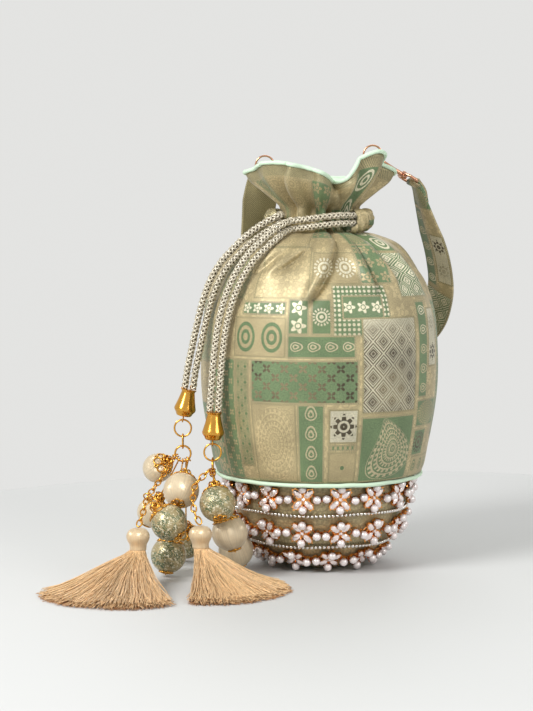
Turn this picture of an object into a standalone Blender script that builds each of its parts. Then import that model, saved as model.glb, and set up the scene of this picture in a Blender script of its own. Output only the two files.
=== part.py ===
"""Potli bag: a gathered drawstring pouch on a round beaded base.

Metres, +Z up. The origin is the centre of the flat spot under the base, the front of the bag
faces -Y and the drawstring ends fall down the left side of its front.
"""

import math

import bmesh
import bpy
from mathutils import Matrix, Vector

# Cloth and clearances
CLEAR = 0.0003
CLOTH = 0.0012
LINING_CLOTH = 0.0006
LINING_GAP = 0.0006

# Base bowl
BOWL_RADIUS = 0.0485
BOWL_FLAT_RADIUS = 0.018
BOWL_WALL = 0.0018
BOWL_STEPS = 36
SEAM_HEIGHT = 0.0515

# Body outline: the seam, the fullest place, the shoulder, the neck and the frill
SEAM_RADIUS = 0.0565
BODY_BOTTOM_HOLE = 0.0455
NECK_RADIUS = 0.0190
NECK_LOW = 0.1845
NECK_HIGH = 0.1955
BELLY_OUTLINE = (
    (0.0590, 0.0600),
    (0.0635, 0.0850),
    (0.0652, 0.1100),
    (0.0640, 0.1360),
    (0.0590, 0.1530),
    (0.0515, 0.1665),
    (0.0420, 0.1765),
    (0.0290, 0.1818),
)
FRILL_FLARE = (
    (0.0215, 0.1985),
    (0.0300, 0.2045),
    (0.0360, 0.2085),
)
INNER_POINTS = (0, 1, 3, 5, 6, 7, 8, 9, 10, 11, 12, 13, 14)
RIM_RADIUS = 0.0392
RIM_HEIGHT = 0.2125

# Gathers
FOLDS = 12
FOLD_DEPTH = 0.0028
FOLD_START = 0.120
STEPS_AROUND = 4 * FOLDS

# Frill lobes, as seen from above: angles run from +X towards +Y
NOTCH_ANGLE = math.radians(-68.0)
NOTCH_WIDTH = math.radians(17.0)
NOTCH_DROP = 0.0065
NOTCH_TUCK = 0.0085
RIGHT_LOBE_ANGLE = math.radians(-36.0)
RIGHT_LOBE_WIDTH = math.radians(26.0)
RIGHT_LOBE_RISE = 0.0130
LEFT_LOBE_ANGLE = math.radians(-135.0)
LEFT_LOBE_WIDTH = math.radians(42.0)
LEFT_LOBE_RISE = 0.0068

# Piping
RIM_PIPING = 0.0022
SEAM_PIPING = 0.0022

# Pearl lace and ball chain on the bowl: heights above the table and flowers in each row
PEARL = 0.005
PEARL_SINK = 0.0007
FLOWER_HALF_HEIGHT = 0.0056
BAND_HEIGHTS = (SEAM_HEIGHT - 0.0090, 0.0245, 0.0092)
BAND_FLOWERS = (16, 14, 11)
BAND_WIDTH = 0.0125
BAND_THICKNESS = 0.0010
CHAIN_HEIGHTS = (0.0338, 0.0160)
BALL = 0.0021

# Drawstring and its casing
CORD = 0.0038
STRAND_PITCH = CORD + 2 * CLEAR
CASING_WALL = 0.0008
FRONT_DROP = 0.0018
CASING_LEFT_END = math.radians(205.0)
CASING_RIGHT_END = math.radians(-48.0)
FRONT_END = math.radians(-100.0)
CASING_STEPS = 30

# Cord end caps, rings and links
CAP_TOP_RADIUS = 0.0042
CAP_WAIST_RADIUS = 0.0036
CAP_WIDEST_RADIUS = 0.00575
CAP_BOTTOM_RADIUS = 0.0045
EYE_RADIUS = 0.0017
EYE_WIRE = 0.0007
CAP_RING_RADIUS = 0.0045
CAP_RING_WIRE = 0.0010
HUB_RADIUS = 0.0042
HUB_WIRE = 0.0011
LINK_LENGTH = 0.0085
LINK_WIDTH = 0.0052
LINK_WIRE = 0.0009

# Beads: diameter of the large and small ones, their bore and pin
BEAD = 0.0190
SMALL_BEAD = 0.0160
BEAD_BORE = 0.0022
PIN = 0.0009
PIN_EYE_RADIUS = 0.0014
PIN_EYE_WIRE = 0.0006
BEAD_CAP_RADIUS = 0.0052
BEAD_CAP_HEIGHT = 0.0042
FOOT_CAP_RADIUS = 0.0034

# Tassels
TASSEL_HEAD = 0.0120
TASSEL_HEAD_HEIGHT = 0.0115
SKIRT_THICKNESS = 0.0060
CHAIN_WIRE = 0.0010
CHAIN_LINK_LENGTH = 0.0056
CHAIN_LINK_WIDTH = 0.0038
CHAIN_LINK_PITCH = 0.0040

# Rim rings, snap hooks and strap
RIM_RING_RADIUS = 0.0050
RIM_RING_WIRE = 0.0011
TAB_WIDTH = 0.0032
TAB_THICKNESS = 0.0008
TAB_PLAY = 0.0005
CLAW_WIRE = 0.0018
CLAW_EYE = 0.0024
SWIVEL_STEM = 0.0013
SWIVEL_HEAD = 0.0030
LOOP_WIRE = 0.0017
LOOP_WIDTH = 0.0150
LOOP_LENGTH = 0.0070
COLLAR = 0.0044
COLLAR_HEIGHT = 0.0016
STRAP_WIDTH = 0.0200
STRAP_END_WIDTH = 0.0098
STRAP_THICKNESS = 0.0012
STRAP_TAIL = 0.0120

# Places of the hanging parts, read from the left side of the bag's front
LEFT_CAP_TOP = Vector((-0.0707, -0.0300, 0.0992))
LEFT_CAP_FOOT = Vector((-0.0736, -0.0300, 0.0847))
RIGHT_CAP_TOP = Vector((-0.0568, -0.0450, 0.0885))
RIGHT_CAP_FOOT = Vector((-0.0575, -0.0450, 0.0736))

# Each bead: hub side, angle of its eye on the hub ring, size and centre
BEADS = (
    ("left", 190.0, SMALL_BEAD, (-0.0885, -0.0180, 0.0549)),
    ("left", 316.0, BEAD, (-0.0742, -0.0460, 0.0469)),
    ("chain", 0.0, BEAD, (-0.0800, -0.0600, 0.0320)),
    ("left", 268.0, BEAD, (-0.0813, -0.0420, 0.0115)),
    ("right", 262.0, BEAD, (-0.0485, -0.0500, 0.0248)),
    ("right", 228.0, BEAD, (-0.0546, -0.0600, 0.0419)),
    ("left", 238.0, SMALL_BEAD, (-0.0911, -0.0250, 0.0319)),
    ("left", 292.0, BEAD, (-0.0738, -0.0010, 0.0115)),
    ("right", 300.0, BEAD, (-0.0456, -0.0271, 0.0115)),
)
LEFT_CHAIN_EYE = 214.0
RIGHT_CHAIN_EYE = 200.0
LEFT_HEAD = Vector((-0.0955, -0.0700, 0.0251))
RIGHT_HEAD = Vector((-0.0632, -0.0700, 0.0262))
LEFT_CHAIN_ROUTE = (
    (-0.0855, -0.0450, 0.0523),
    (-0.0912, -0.0550, 0.0447),
    (-0.0932, -0.0625, 0.0383),
)
RIGHT_CHAIN_ROUTE = (
    (-0.0668, -0.0555, 0.0500),
    (-0.0668, -0.0660, 0.0400),
)
LEFT_FAN = (math.radians(-112.0), math.radians(45.0), 0.058)
RIGHT_FAN = (math.radians(-47.0), math.radians(50.0), 0.049)

# Routes of the cord pairs, from the casing down to their caps
LEFT_CORD_ROUTE = (
    (-0.0212, -0.0165, 0.1903),
    (-0.0214, -0.0225, 0.1900),
    (-0.0245, -0.0268, 0.1885),
    (-0.0310, -0.0282, 0.1848),
    (-0.0388, -0.0295, 0.1790),
    (-0.0458, -0.0295, 0.1722),
    (-0.0520, -0.0292, 0.1652),
    (-0.0572, -0.0290, 0.1562),
    (-0.0612, -0.0288, 0.1450),
    (-0.0642, -0.0288, 0.1330),
    (-0.0670, -0.0290, 0.1200),
    (-0.0693, -0.0298, 0.1090),
)
RIGHT_CORD_ROUTE = (
    (-0.0162, -0.0264, 0.1868),
    (-0.0208, -0.0318, 0.1848),
    (-0.0250, -0.0366, 0.1816),
    (-0.0300, -0.0402, 0.1772),
    (-0.0370, -0.0428, 0.1702),
    (-0.0435, -0.0446, 0.1605),
    (-0.0485, -0.0455, 0.1490),
    (-0.0520, -0.0452, 0.1360),
    (-0.0540, -0.0452, 0.1230),
    (-0.0553, -0.0453, 0.1100),
    (-0.0562, -0.0452, 0.0975),
)

# Rim rings and hooks: ring centre, angle of the hook on the ring and run of the hook
LEFT_RING = Vector((-0.0300, 0.0000, RIM_HEIGHT + 0.0070))
RIGHT_RING = Vector((0.0290, 0.0000, RIM_HEIGHT + 0.0127))
LEFT_HOOK_ANGLE = math.radians(10.0)
RIGHT_HOOK_ANGLE = math.radians(-35.0)
LEFT_HOOK_RUN = Vector((-0.10, 0.99, -0.02))
RIGHT_HOOK_RUN = Vector((0.80, 0.31, -0.50))
LEFT_BAR = Vector((-1.0, -0.10, 0.0))
RIGHT_BAR = Vector((0.37, -0.93, 0.0))

# Strap from the right hook, down behind the bag and up to the left hook
STRAP_ROUTE = (
    ((0.0600, 0.0180, 0.1900), (0.45, -0.89, 0.0)),
    ((0.0675, 0.0300, 0.1680), (0.55, -0.83, 0.0)),
    ((0.0700, 0.0400, 0.1480), (0.58, -0.81, 0.0)),
    ((0.0640, 0.0560, 0.1280), (0.60, -0.80, 0.0)),
    ((0.0450, 0.0750, 0.1140), (0.40, -0.92, 0.0)),
    ((0.0150, 0.0840, 0.1080), (0.10, -1.00, 0.0)),
    ((-0.0150, 0.0820, 0.1130), (-0.30, -0.95, 0.0)),
    ((-0.0370, 0.0710, 0.1330), (-0.60, -0.80, 0.0)),
    ((-0.0420, 0.0600, 0.1590), (-0.85, -0.50, 0.0)),
    ((-0.0380, 0.0540, 0.1850), (-0.97, -0.20, 0.0)),
    ((-0.0345, 0.0475, 0.2060), (-0.99, -0.12, 0.0)),
    ((-0.0312, 0.0395, 0.2168), (-0.99, -0.10, 0.0)),
)


def clear_scene():
    """Start from an empty scene."""
    for thing in list(bpy.data.objects):
        bpy.data.objects.remove(thing, do_unlink=True)


def material(name, colour, roughness, metallic):
    """A plain surface with a colour, a roughness and a metallic value."""
    surface = bpy.data.materials.get(name)
    if surface:
        return surface
    surface = bpy.data.materials.new(name)
    surface.use_nodes = True
    shader = surface.node_tree.nodes["Principled BSDF"]
    shader.inputs["Base Color"].default_value = (*colour, 1.0)
    shader.inputs["Roughness"].default_value = roughness
    shader.inputs["Metallic"].default_value = metallic
    return surface


def brocade():
    """Sage green cloth with a woven gold pattern."""
    return material("brocade", (0.29, 0.36, 0.20), 0.45, 0.3)


def mint_satin():
    """Light green satin of the lining and the pipings."""
    return material("mint_satin", (0.37, 0.63, 0.36), 0.4, 0.0)


def gold():
    """Polished yellow gold plating."""
    return material("gold", (0.58, 0.31, 0.05), 0.2, 1.0)


def rose_gold():
    """Polished rose gold plating."""
    return material("rose_gold", (0.48, 0.26, 0.14), 0.25, 1.0)


def silver():
    """Bright silver of the ball chain."""
    return material("silver", (0.7, 0.7, 0.68), 0.25, 1.0)


def metallic_braid():
    """Silver and gold braided drawstring."""
    return material("metallic_braid", (0.58, 0.52, 0.38), 0.45, 0.6)


def cream_silk():
    """Cream silk thread wound round a bead."""
    return material("cream_silk", (0.69, 0.60, 0.45), 0.5, 0.0)


def champagne_silk():
    """Champagne silk of the tassels."""
    return material("champagne_silk", (0.62, 0.42, 0.24), 0.5, 0.0)


def pearl_lace():
    """Pearls set in gilded lace."""
    return material("pearl_lace", (0.80, 0.74, 0.68), 0.25, 0.1)


def place(name, bm, surface, matrix=None, smooth=True):
    """Turn a finished bmesh into the named object of one sub-part."""
    bmesh.ops.remove_doubles(bm, verts=bm.verts, dist=1e-7)
    bmesh.ops.recalc_face_normals(bm, faces=bm.faces)
    mesh = bpy.data.meshes.new(name)
    bm.to_mesh(mesh)
    bm.free()
    if smooth:
        mesh.shade_smooth()
        mesh.set_sharp_from_angle(angle=math.radians(40.0))
    mesh.materials.append(surface)
    thing = bpy.data.objects.new(name, mesh)
    if matrix:
        thing.matrix_world = matrix
    bpy.context.scene.collection.objects.link(thing)
    return thing


def frame_along(origin, along, side):
    """Matrix at origin with +Z along the first direction and +X nearest to the second."""
    z_axis = Vector(along).normalized()
    x_axis = Vector(side) - z_axis * z_axis.dot(Vector(side))
    x_axis.normalize()
    y_axis = z_axis.cross(x_axis)
    turn = Matrix((x_axis, y_axis, z_axis)).transposed().to_4x4()
    return Matrix.Translation(origin) @ turn


def closed_spin(outline, steps):
    """Turn a closed outline of (radius, height) points once round +Z."""
    bm = bmesh.new()
    verts = [bm.verts.new((radius, 0.0, height)) for radius, height in outline]
    edges = [bm.edges.new((verts[i - 1], verts[i])) for i in range(len(verts))]
    bmesh.ops.spin(
        bm, geom=verts + edges, cent=(0, 0, 0), axis=(0, 0, 1), dvec=(0, 0, 0),
        angle=math.tau, steps=steps, use_merge=True, use_duplicate=False)
    return bm


def open_spin(outline, steps):
    """Turn an outline that starts and ends on the axis once round +Z."""
    bm = bmesh.new()
    verts = [bm.verts.new((radius, 0.0, height)) for radius, height in outline]
    edges = [bm.edges.new((verts[i], verts[i + 1])) for i in range(len(verts) - 1)]
    bmesh.ops.spin(
        bm, geom=verts + edges, cent=(0, 0, 0), axis=(0, 0, 1), dvec=(0, 0, 0),
        angle=math.tau, steps=steps, use_merge=True, use_duplicate=False)
    return bm


def ring_mesh(radius, wire, steps, sides):
    """A round ring about +Z: mean radius and wire diameter."""
    outline = [
        (radius + 0.5 * wire * math.cos(math.tau * k / sides), 0.5 * wire * math.sin(math.tau * k / sides))
        for k in range(sides)
    ]
    return closed_spin(outline, steps)


def loft(sections, closed=False):
    """Skin a row of equal-sized point loops, with an end face on each end unless closed."""
    bm = bmesh.new()
    loops = [[bm.verts.new(point) for point in section] for section in sections]
    count = len(loops[0])
    rows = len(loops) if closed else len(loops) - 1
    for row in range(rows):
        near = loops[row]
        far = loops[(row + 1) % len(loops)]
        for k in range(count):
            bm.faces.new((near[k - 1], near[k], far[k], far[k - 1]))
    if not closed:
        bm.faces.new(loops[0])
        bm.faces.new(loops[-1])
    return bm


def rod_sections(points, radii, sides, closed=False):
    """Round sections along a path that turns gently, each with its own radius."""
    sections = []
    count = len(points)
    up = None
    for i, point in enumerate(points):
        before = points[i - 1] if i > 0 or closed else points[i]
        after = points[(i + 1) % count] if i + 1 < count or closed else points[i]
        along = (Vector(after) - Vector(before)).normalized()
        if up is None:
            up = along.orthogonal()
        up = (up - along * along.dot(up)).normalized()
        side = along.cross(up)
        sections.append([
            Vector(point) + radii[i] * (
                up * math.cos(math.tau * k / sides) + side * math.sin(math.tau * k / sides))
            for k in range(sides)
        ])
    return sections


def unite(carrier, *pieces):
    """Join the pieces to the carrier as one solid."""
    for piece in pieces:
        piece.hide_render = True
        piece.display_type = "WIRE"
        join = carrier.modifiers.new("join " + piece.name, "BOOLEAN")
        join.operation = "UNION"
        join.solver = "EXACT"
        join.object = piece


def smooth_route(points, spacing):
    """Evenly read points of a smooth curve through the route's own points."""
    knots = [Vector(point) for point in points]
    knots = [2 * knots[0] - knots[1]] + knots + [2 * knots[-1] - knots[-2]]
    fine = []
    for i in range(1, len(knots) - 2):
        a, b, c, d = knots[i - 1], knots[i], knots[i + 1], knots[i + 2]
        for k in range(12):
            t = k / 12
            fine.append(0.5 * (
                2 * b + (c - a) * t + (2 * a - 5 * b + 4 * c - d) * t ** 2
                + (3 * b - a - 3 * c + d) * t ** 3))
    fine.append(knots[-2])
    length = sum((fine[i + 1] - fine[i]).length for i in range(len(fine) - 1))
    count = max(2, round(length / spacing))
    read = [fine[0]]
    walked = 0.0
    for i in range(len(fine) - 1):
        step = (fine[i + 1] - fine[i]).length
        while len(read) < count and walked + step >= length * len(read) / count:
            share = (length * len(read) / count - walked) / step
            read.append(fine[i].lerp(fine[i + 1], share))
        walked += step
    read.append(fine[-1])
    return read


def angle_gap(angle, centre):
    """Signed difference between two angles, between -pi and pi."""
    return (angle - centre + math.pi) % math.tau - math.pi


def bump(angle, centre, width):
    """A smooth rise of height one about a centre angle."""
    return math.exp(-(angle_gap(angle, centre) / width) ** 2)


def fold_weight(height):
    """How strongly the gathers show: none on the belly, full at the neck, less at the rim."""
    if height <= NECK_LOW:
        share = max(0.0, (height - FOLD_START) / (NECK_LOW - FOLD_START))
        return share ** 2
    share = max(0.0, (height - NECK_HIGH) / (RIM_HEIGHT - NECK_HIGH))
    return 1.0 - 0.45 * min(1.0, share)


def gather(bm):
    """Press the gathers and the frill's lobes into a plain turned shell."""
    for vert in bm.verts:
        x, y, z = vert.co
        radius = math.hypot(x, y)
        angle = math.atan2(y, x)
        frill = min(1.0, max(0.0, (z - NECK_HIGH) / (RIM_HEIGHT - NECK_HIGH)))
        notch = bump(angle, NOTCH_ANGLE, NOTCH_WIDTH)
        right = bump(angle, RIGHT_LOBE_ANGLE, RIGHT_LOBE_WIDTH)
        left = bump(angle, LEFT_LOBE_ANGLE, LEFT_LOBE_WIDTH)
        radius += FOLD_DEPTH * fold_weight(z) * math.cos(FOLDS * angle)
        radius -= NOTCH_TUCK * notch * frill
        rise = RIGHT_LOBE_RISE * right + LEFT_LOBE_RISE * left - NOTCH_DROP * notch
        vert.co = (radius * math.cos(angle), radius * math.sin(angle), z + rise * frill)


def inward(outline, distance):
    """The same outline moved to its left by a distance, which is inward for a rising profile."""
    moved = []
    for i, (radius, height) in enumerate(outline):
        before = Vector(outline[max(0, i - 1)])
        after = Vector(outline[min(len(outline) - 1, i + 1)])
        along = (after - before).normalized()
        moved.append((radius - distance * along.y, height + distance * along.x))
    return moved


def body_profile():
    """Outer profile of the bag from the seam to the rim."""
    return [
        (SEAM_RADIUS, SEAM_HEIGHT + 0.5 * CLOTH),
        *BELLY_OUTLINE,
        (NECK_RADIUS, NECK_LOW),
        (NECK_RADIUS, NECK_HIGH),
        *FRILL_FLARE,
        (RIM_RADIUS, RIM_HEIGHT),
    ]


def make_body():
    """Brocade shell: turned in under the seam, gathered at the neck and flared above it."""
    outer = body_profile()
    inner = inward(outer, CLOTH)
    inner = [inner[i] for i in INNER_POINTS]
    inner[0] = (SEAM_RADIUS - CLOTH, SEAM_HEIGHT + CLOTH)
    foot = [(BODY_BOTTOM_HOLE, SEAM_HEIGHT + CLOTH), (BODY_BOTTOM_HOLE, SEAM_HEIGHT)]
    under = [(SEAM_RADIUS - 0.5 * CLOTH, SEAM_HEIGHT)]
    bm = closed_spin(under + outer + inner[::-1] + foot, STEPS_AROUND)
    gather(bm)
    return place("bag_body", bm, brocade())


def lining_profile():
    """Outer profile of the lining, which hangs straighter than the shell below the shoulder."""
    skin = inward(body_profile(), CLOTH + LINING_GAP)
    low_radius, low_height = skin[1]
    return [(low_radius - LINING_GAP, low_height), *skin[5:]]


def make_lining():
    """Mint lining that follows the inside of the shell from the belly to just under the rim."""
    skin = lining_profile()
    inner = inward(skin, LINING_CLOTH)
    inner = inner[:2] + inner[3:]
    bm = closed_spin(skin + inner[::-1], STEPS_AROUND)
    gather(bm)
    return place("bag_lining", bm, mint_satin())


def make_rim_piping():
    """Mint satin piping along the edge of the frill."""
    low, high = [Vector(point) for point in body_profile()[-2:]]
    flare = (high - low).normalized()
    out = Vector((flare.y, -flare.x))
    radius, centre_height = high - out * 0.5 * CLOTH + flare * (0.5 * RIM_PIPING + CLEAR)
    outline = [
        (radius + 0.5 * RIM_PIPING * math.cos(math.tau * (k + 0.5) / 4),
         centre_height + 0.5 * RIM_PIPING * math.sin(math.tau * (k + 0.5) / 4))
        for k in range(4)
    ]
    bm = closed_spin(outline, STEPS_AROUND)
    gather(bm)
    return place("rim_piping", bm, mint_satin())


def make_seam_piping():
    """Mint satin piping under the seam between the body and the base."""
    bm = ring_mesh(SEAM_RADIUS - 0.5 * CLOTH, SEAM_PIPING, BOWL_STEPS, 4)
    lift = SEAM_HEIGHT - 0.5 * SEAM_PIPING - CLEAR
    return place("seam_piping", bm, mint_satin(), Matrix.Translation((0, 0, lift)))


def bowl_centre():
    """Height of the bowl's centre, which leaves the flat spot its radius."""
    return math.sqrt(BOWL_RADIUS ** 2 - BOWL_FLAT_RADIUS ** 2)


def make_bowl():
    """Cloth-covered half round base, open at the top, with a flat spot to stand on."""
    top = SEAM_HEIGHT - CLEAR
    arcs = 7
    start = math.asin(-bowl_centre() / BOWL_RADIUS)
    end = math.asin((top - bowl_centre()) / BOWL_RADIUS)
    outer = []
    inner = []
    for k in range(arcs + 1):
        angle = start + (end - start) * k / arcs
        outer.append((BOWL_RADIUS * math.cos(angle), bowl_centre() + BOWL_RADIUS * math.sin(angle)))
    inner_radius = BOWL_RADIUS - BOWL_WALL
    floor = math.asin((BOWL_WALL - bowl_centre()) / inner_radius)
    brim = math.asin((top - bowl_centre()) / inner_radius)
    for k in range(5):
        angle = brim + (floor - brim) * k / 4
        inner.append((inner_radius * math.cos(angle), bowl_centre() + inner_radius * math.sin(angle)))
    outline = [(0.0, 0.0)] + outer + inner + [(0.0, BOWL_WALL)]
    return place("base_bowl", open_spin(outline, BOWL_STEPS), brocade())


def on_bowl(reach, height, angle, rise=0.0):
    """Point at a reach from the bowl's centre, level with a row's height and moved up along the bowl."""
    tilt = math.asin((height - bowl_centre()) / BOWL_RADIUS) + rise / BOWL_RADIUS
    level = reach * math.cos(tilt)
    return Vector((level * math.cos(angle), level * math.sin(angle), bowl_centre() + reach * math.sin(tilt)))


def make_pearls(number, height, flowers):
    """The pearls of one row: four to a flower, above, below and to each side of its middle."""
    reach = BOWL_RADIUS + CLEAR + BAND_THICKNESS + 0.5 * PEARL - PEARL_SINK
    level = on_bowl(reach, height, 0.0).x
    side_swing = 0.5 * math.tau / flowers - 0.5 * (PEARL + CLEAR) / level
    bm = bmesh.new()
    for k in range(flowers):
        middle = math.tau * (k + 0.5 * number) / flowers
        spots = [
            on_bowl(reach, height, middle, FLOWER_HALF_HEIGHT),
            on_bowl(reach, height, middle, -FLOWER_HALF_HEIGHT),
            on_bowl(reach, height, middle - side_swing),
            on_bowl(reach, height, middle + side_swing),
        ]
        for spot in spots:
            outward = spot - Vector((0.0, 0.0, bowl_centre()))
            bmesh.ops.create_icosphere(
                bm, subdivisions=1, radius=0.5 * PEARL, matrix=Matrix.Translation(spot) @ facing(outward))
    return place(f"pearl_band_{number}_pearls", bm, pearl_lace())


def make_band(number, height, flowers):
    """Lace strip lying on the bowl, with its row of pearl flowers."""
    half = 0.5 * BAND_WIDTH / BOWL_RADIUS
    near = (BOWL_RADIUS + CLEAR) / math.cos(half)
    far = near + BAND_THICKNESS
    middle = math.asin((height - bowl_centre()) / BOWL_RADIUS)
    outline = []
    for radius, swing in ((near, -half), (far, -half), (far, half), (near, half)):
        angle = middle + swing
        outline.append((radius * math.cos(angle), bowl_centre() + radius * math.sin(angle)))
    band = place(f"pearl_band_{number}", closed_spin(outline, BOWL_STEPS), pearl_lace())
    unite(band, make_pearls(number, height, flowers))
    return band


def make_ball_chain(number, height):
    """Row of small silver balls between two rows of lace."""
    reach = BOWL_RADIUS + CLEAR + 0.5 * BALL
    middle = math.asin((height - bowl_centre()) / BOWL_RADIUS)
    bm = ring_mesh(reach * math.cos(middle), BALL, BOWL_STEPS, 4)
    lift = bowl_centre() + reach * math.sin(middle)
    return place(f"ball_chain_{number}", bm, silver(), Matrix.Translation((0, 0, lift)))


def neck_reach():
    """Outermost radius of the gathered neck."""
    return NECK_RADIUS + FOLD_DEPTH


def casing_middle():
    """Radius and height of the middle of the casing's channel."""
    channel = CORD + 2 * CLEAR
    return neck_reach() + CLEAR + CASING_WALL + 0.5 * channel, 0.5 * (NECK_LOW + NECK_HIGH)


def make_casing():
    """Stitched casing round the neck, open at the front and hollow for the drawstring."""
    radius, height = casing_middle()
    half_wide = 0.5 * CORD + CLEAR
    half_high = 0.5 * (STRAND_PITCH + CORD) + CLEAR
    hollow = [(-half_wide, -half_high), (half_wide, -half_high), (half_wide, half_high), (-half_wide, half_high)]
    skin = [
        (x + math.copysign(CASING_WALL, x), y + math.copysign(CASING_WALL, y)) for x, y in hollow
    ]
    bm = bmesh.new()
    rows = []
    for k in range(CASING_STEPS + 1):
        angle = CASING_RIGHT_END + (CASING_LEFT_END - CASING_RIGHT_END) * k / CASING_STEPS
        row = []
        for outline in (skin, hollow):
            row.append([
                bm.verts.new(((radius + x) * math.cos(angle), (radius + x) * math.sin(angle), height + y))
                for x, y in outline
            ])
        rows.append(row)
    for near, far in zip(rows, rows[1:]):
        for loop in (0, 1):
            for k in range(4):
                bm.faces.new((near[loop][k - 1], near[loop][k], far[loop][k], far[loop][k - 1]))
    for row in (rows[0], rows[-1]):
        for k in range(4):
            bm.faces.new((row[0][k - 1], row[0][k], row[1][k], row[1][k - 1]))
    return place("drawstring_casing", bm, brocade(), smooth=False)


def cord_curve(name, points, surface):
    """A cord: a round tube along its points, with closed ends."""
    curve = bpy.data.curves.new(name, "CURVE")
    curve.dimensions = "3D"
    curve.bevel_depth = 0.5 * CORD
    curve.bevel_resolution = 2
    curve.use_fill_caps = True
    curve.resolution_u = 1
    curve.render_resolution_u = 1
    line = curve.splines.new("POLY")
    line.points.add(len(points) - 1)
    for spot, point in zip(line.points, points):
        spot.co = (*point, 1.0)
    curve.materials.append(surface)
    thing = bpy.data.objects.new(name, curve)
    bpy.context.scene.collection.objects.link(thing)
    return thing


def drawstring_points(side):
    """Middle line of one strand: from the front, into the right slit and round to the left."""
    radius, middle = casing_middle()
    height = middle + side * 0.5 * STRAND_PITCH
    turn = CASING_LEFT_END - FRONT_END
    steps = 20
    points = []
    for k in range(steps + 1):
        angle = FRONT_END + turn * k / steps
        front = max(0.0, 1.0 - (angle - FRONT_END) / (CASING_RIGHT_END - FRONT_END))
        drop = FRONT_DROP * front ** 2
        points.append(Vector((radius * math.cos(angle), radius * math.sin(angle), height - drop)))
    return points


def make_drawstring(number, side):
    """One strand of the doubled drawstring, round the neck."""
    return cord_curve(f"drawstring_{number}", drawstring_points(side), metallic_braid())


def strand_points(place_name, route, side, end):
    """Middle line of one loose strand, from the drawstring's end to the cap's face."""
    held = drawstring_points(side)
    if place_name == "right":
        held = held[::-1]
    leave = (held[-1] - held[-2]).normalized()
    start = held[-1] + leave * CLEAR
    knots = [Vector(point) for point in route] + [end]
    beside = []
    for i, knot in enumerate(knots):
        along = (knots[min(len(knots) - 1, i + 1)] - knots[max(0, i - 1)]).normalized()
        across = along.cross(Vector((0.0, -1.0, 0.0)))
        if i < 2:
            across = Vector((0.0, 0.0, 1.0)) - along * along.z
        beside.append(knot + across.normalized() * side * 0.5 * STRAND_PITCH)
    return smooth_route([start, start + leave * 1.4 * CORD, *beside], 1.8 * CORD)


def make_cord_pair(place_name, route, cap_top, cap_foot):
    """The two strands of one drawstring end, down to the face of their cap."""
    upward = (cap_top - cap_foot).normalized()
    end = cap_top + upward * CLEAR
    for number, side in ((1, 1.0), (2, -1.0)):
        points = strand_points(place_name, route, side, end)
        cord_curve(f"cord_{place_name}_{number}", points, metallic_braid())


def make_end_cap(place_name, top, foot):
    """Turned bell-shaped cap with an eye under it."""
    length = (top - foot).length
    outline = [
        (0.0, length),
        (CAP_TOP_RADIUS, length),
        (CAP_TOP_RADIUS, 0.93 * length),
        (CAP_WAIST_RADIUS, 0.88 * length),
        (0.86 * CAP_WIDEST_RADIUS, 0.50 * length),
        (CAP_WIDEST_RADIUS, 0.27 * length),
        (CAP_BOTTOM_RADIUS, 0.06 * length),
        (0.80 * CAP_BOTTOM_RADIUS, 0.0),
        (0.0, 0.0),
    ]
    matrix = frame_along(foot, top - foot, (0.0, 1.0, 0.0))
    cap = place(f"end_cap_{place_name}", open_spin(outline, 14), gold(), matrix)
    eye_turn = Matrix.Translation((0, 0, -EYE_RADIUS + 0.3 * EYE_WIRE)) @ Matrix.Rotation(math.pi / 2, 4, "X")
    eye = place(f"end_cap_{place_name}_eye", ring_mesh(EYE_RADIUS, EYE_WIRE, 10, 5), gold(), matrix @ eye_turn)
    unite(cap, eye)
    return cap


def facing(normal):
    """Turn that points a ring's axis along a direction."""
    return Vector((0, 0, 1)).rotation_difference(Vector(normal)).to_matrix().to_4x4()


def make_ring(name, centre, normal, radius, wire, surface, steps=12, sides=5):
    """A round wire ring whose axis points along the normal."""
    matrix = Matrix.Translation(centre) @ facing(normal)
    return place(name, ring_mesh(radius, wire, steps, sides), surface, matrix)


def oval_points(length, width, steps):
    """Middle line of an oval link, long along Z, in the XZ plane."""
    return [
        Vector((0.5 * width * math.cos(math.tau * k / steps), 0.0, 0.5 * length * math.sin(math.tau * k / steps)))
        for k in range(steps)
    ]


def cap_ring_centre(top, foot):
    """Centre of the ring that hangs in the eye under a cord end cap."""
    upward = (top - foot).normalized()
    hang = 2 * EYE_RADIUS - 0.3 * EYE_WIRE - 0.5 * EYE_WIRE - CLEAR - 0.5 * CAP_RING_WIRE
    return foot - upward * hang - Vector((0, 0, CAP_RING_RADIUS))


def hung_below(centre, reach, wire, next_reach, next_wire):
    """Centre of a ring or link whose top wire lies on the lowest wire of another."""
    return centre - Vector((0, 0, reach - 0.5 * wire - CLEAR - 0.5 * next_wire + next_reach))


def oval_link_centre():
    """Centre of the oval link under the left cap ring."""
    ring = cap_ring_centre(LEFT_CAP_TOP, LEFT_CAP_FOOT)
    return hung_below(ring, CAP_RING_RADIUS, CAP_RING_WIRE, 0.5 * (LINK_LENGTH - LINK_WIRE), LINK_WIRE)


def hub_frame(side):
    """Centre and the two axes of the plane of a hub ring."""
    if side == "left":
        reach = 0.5 * (LINK_LENGTH - LINK_WIRE)
        centre = hung_below(oval_link_centre(), reach, LINK_WIRE, HUB_RADIUS, HUB_WIRE)
        return centre, Vector((1, 0, 0)), Vector((0, 0, 1))
    ring = cap_ring_centre(RIGHT_CAP_TOP, RIGHT_CAP_FOOT)
    centre = hung_below(ring, CAP_RING_RADIUS, CAP_RING_WIRE, HUB_RADIUS, HUB_WIRE)
    return centre, Vector((0, 1, 0)), Vector((0, 0, 1))


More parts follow.
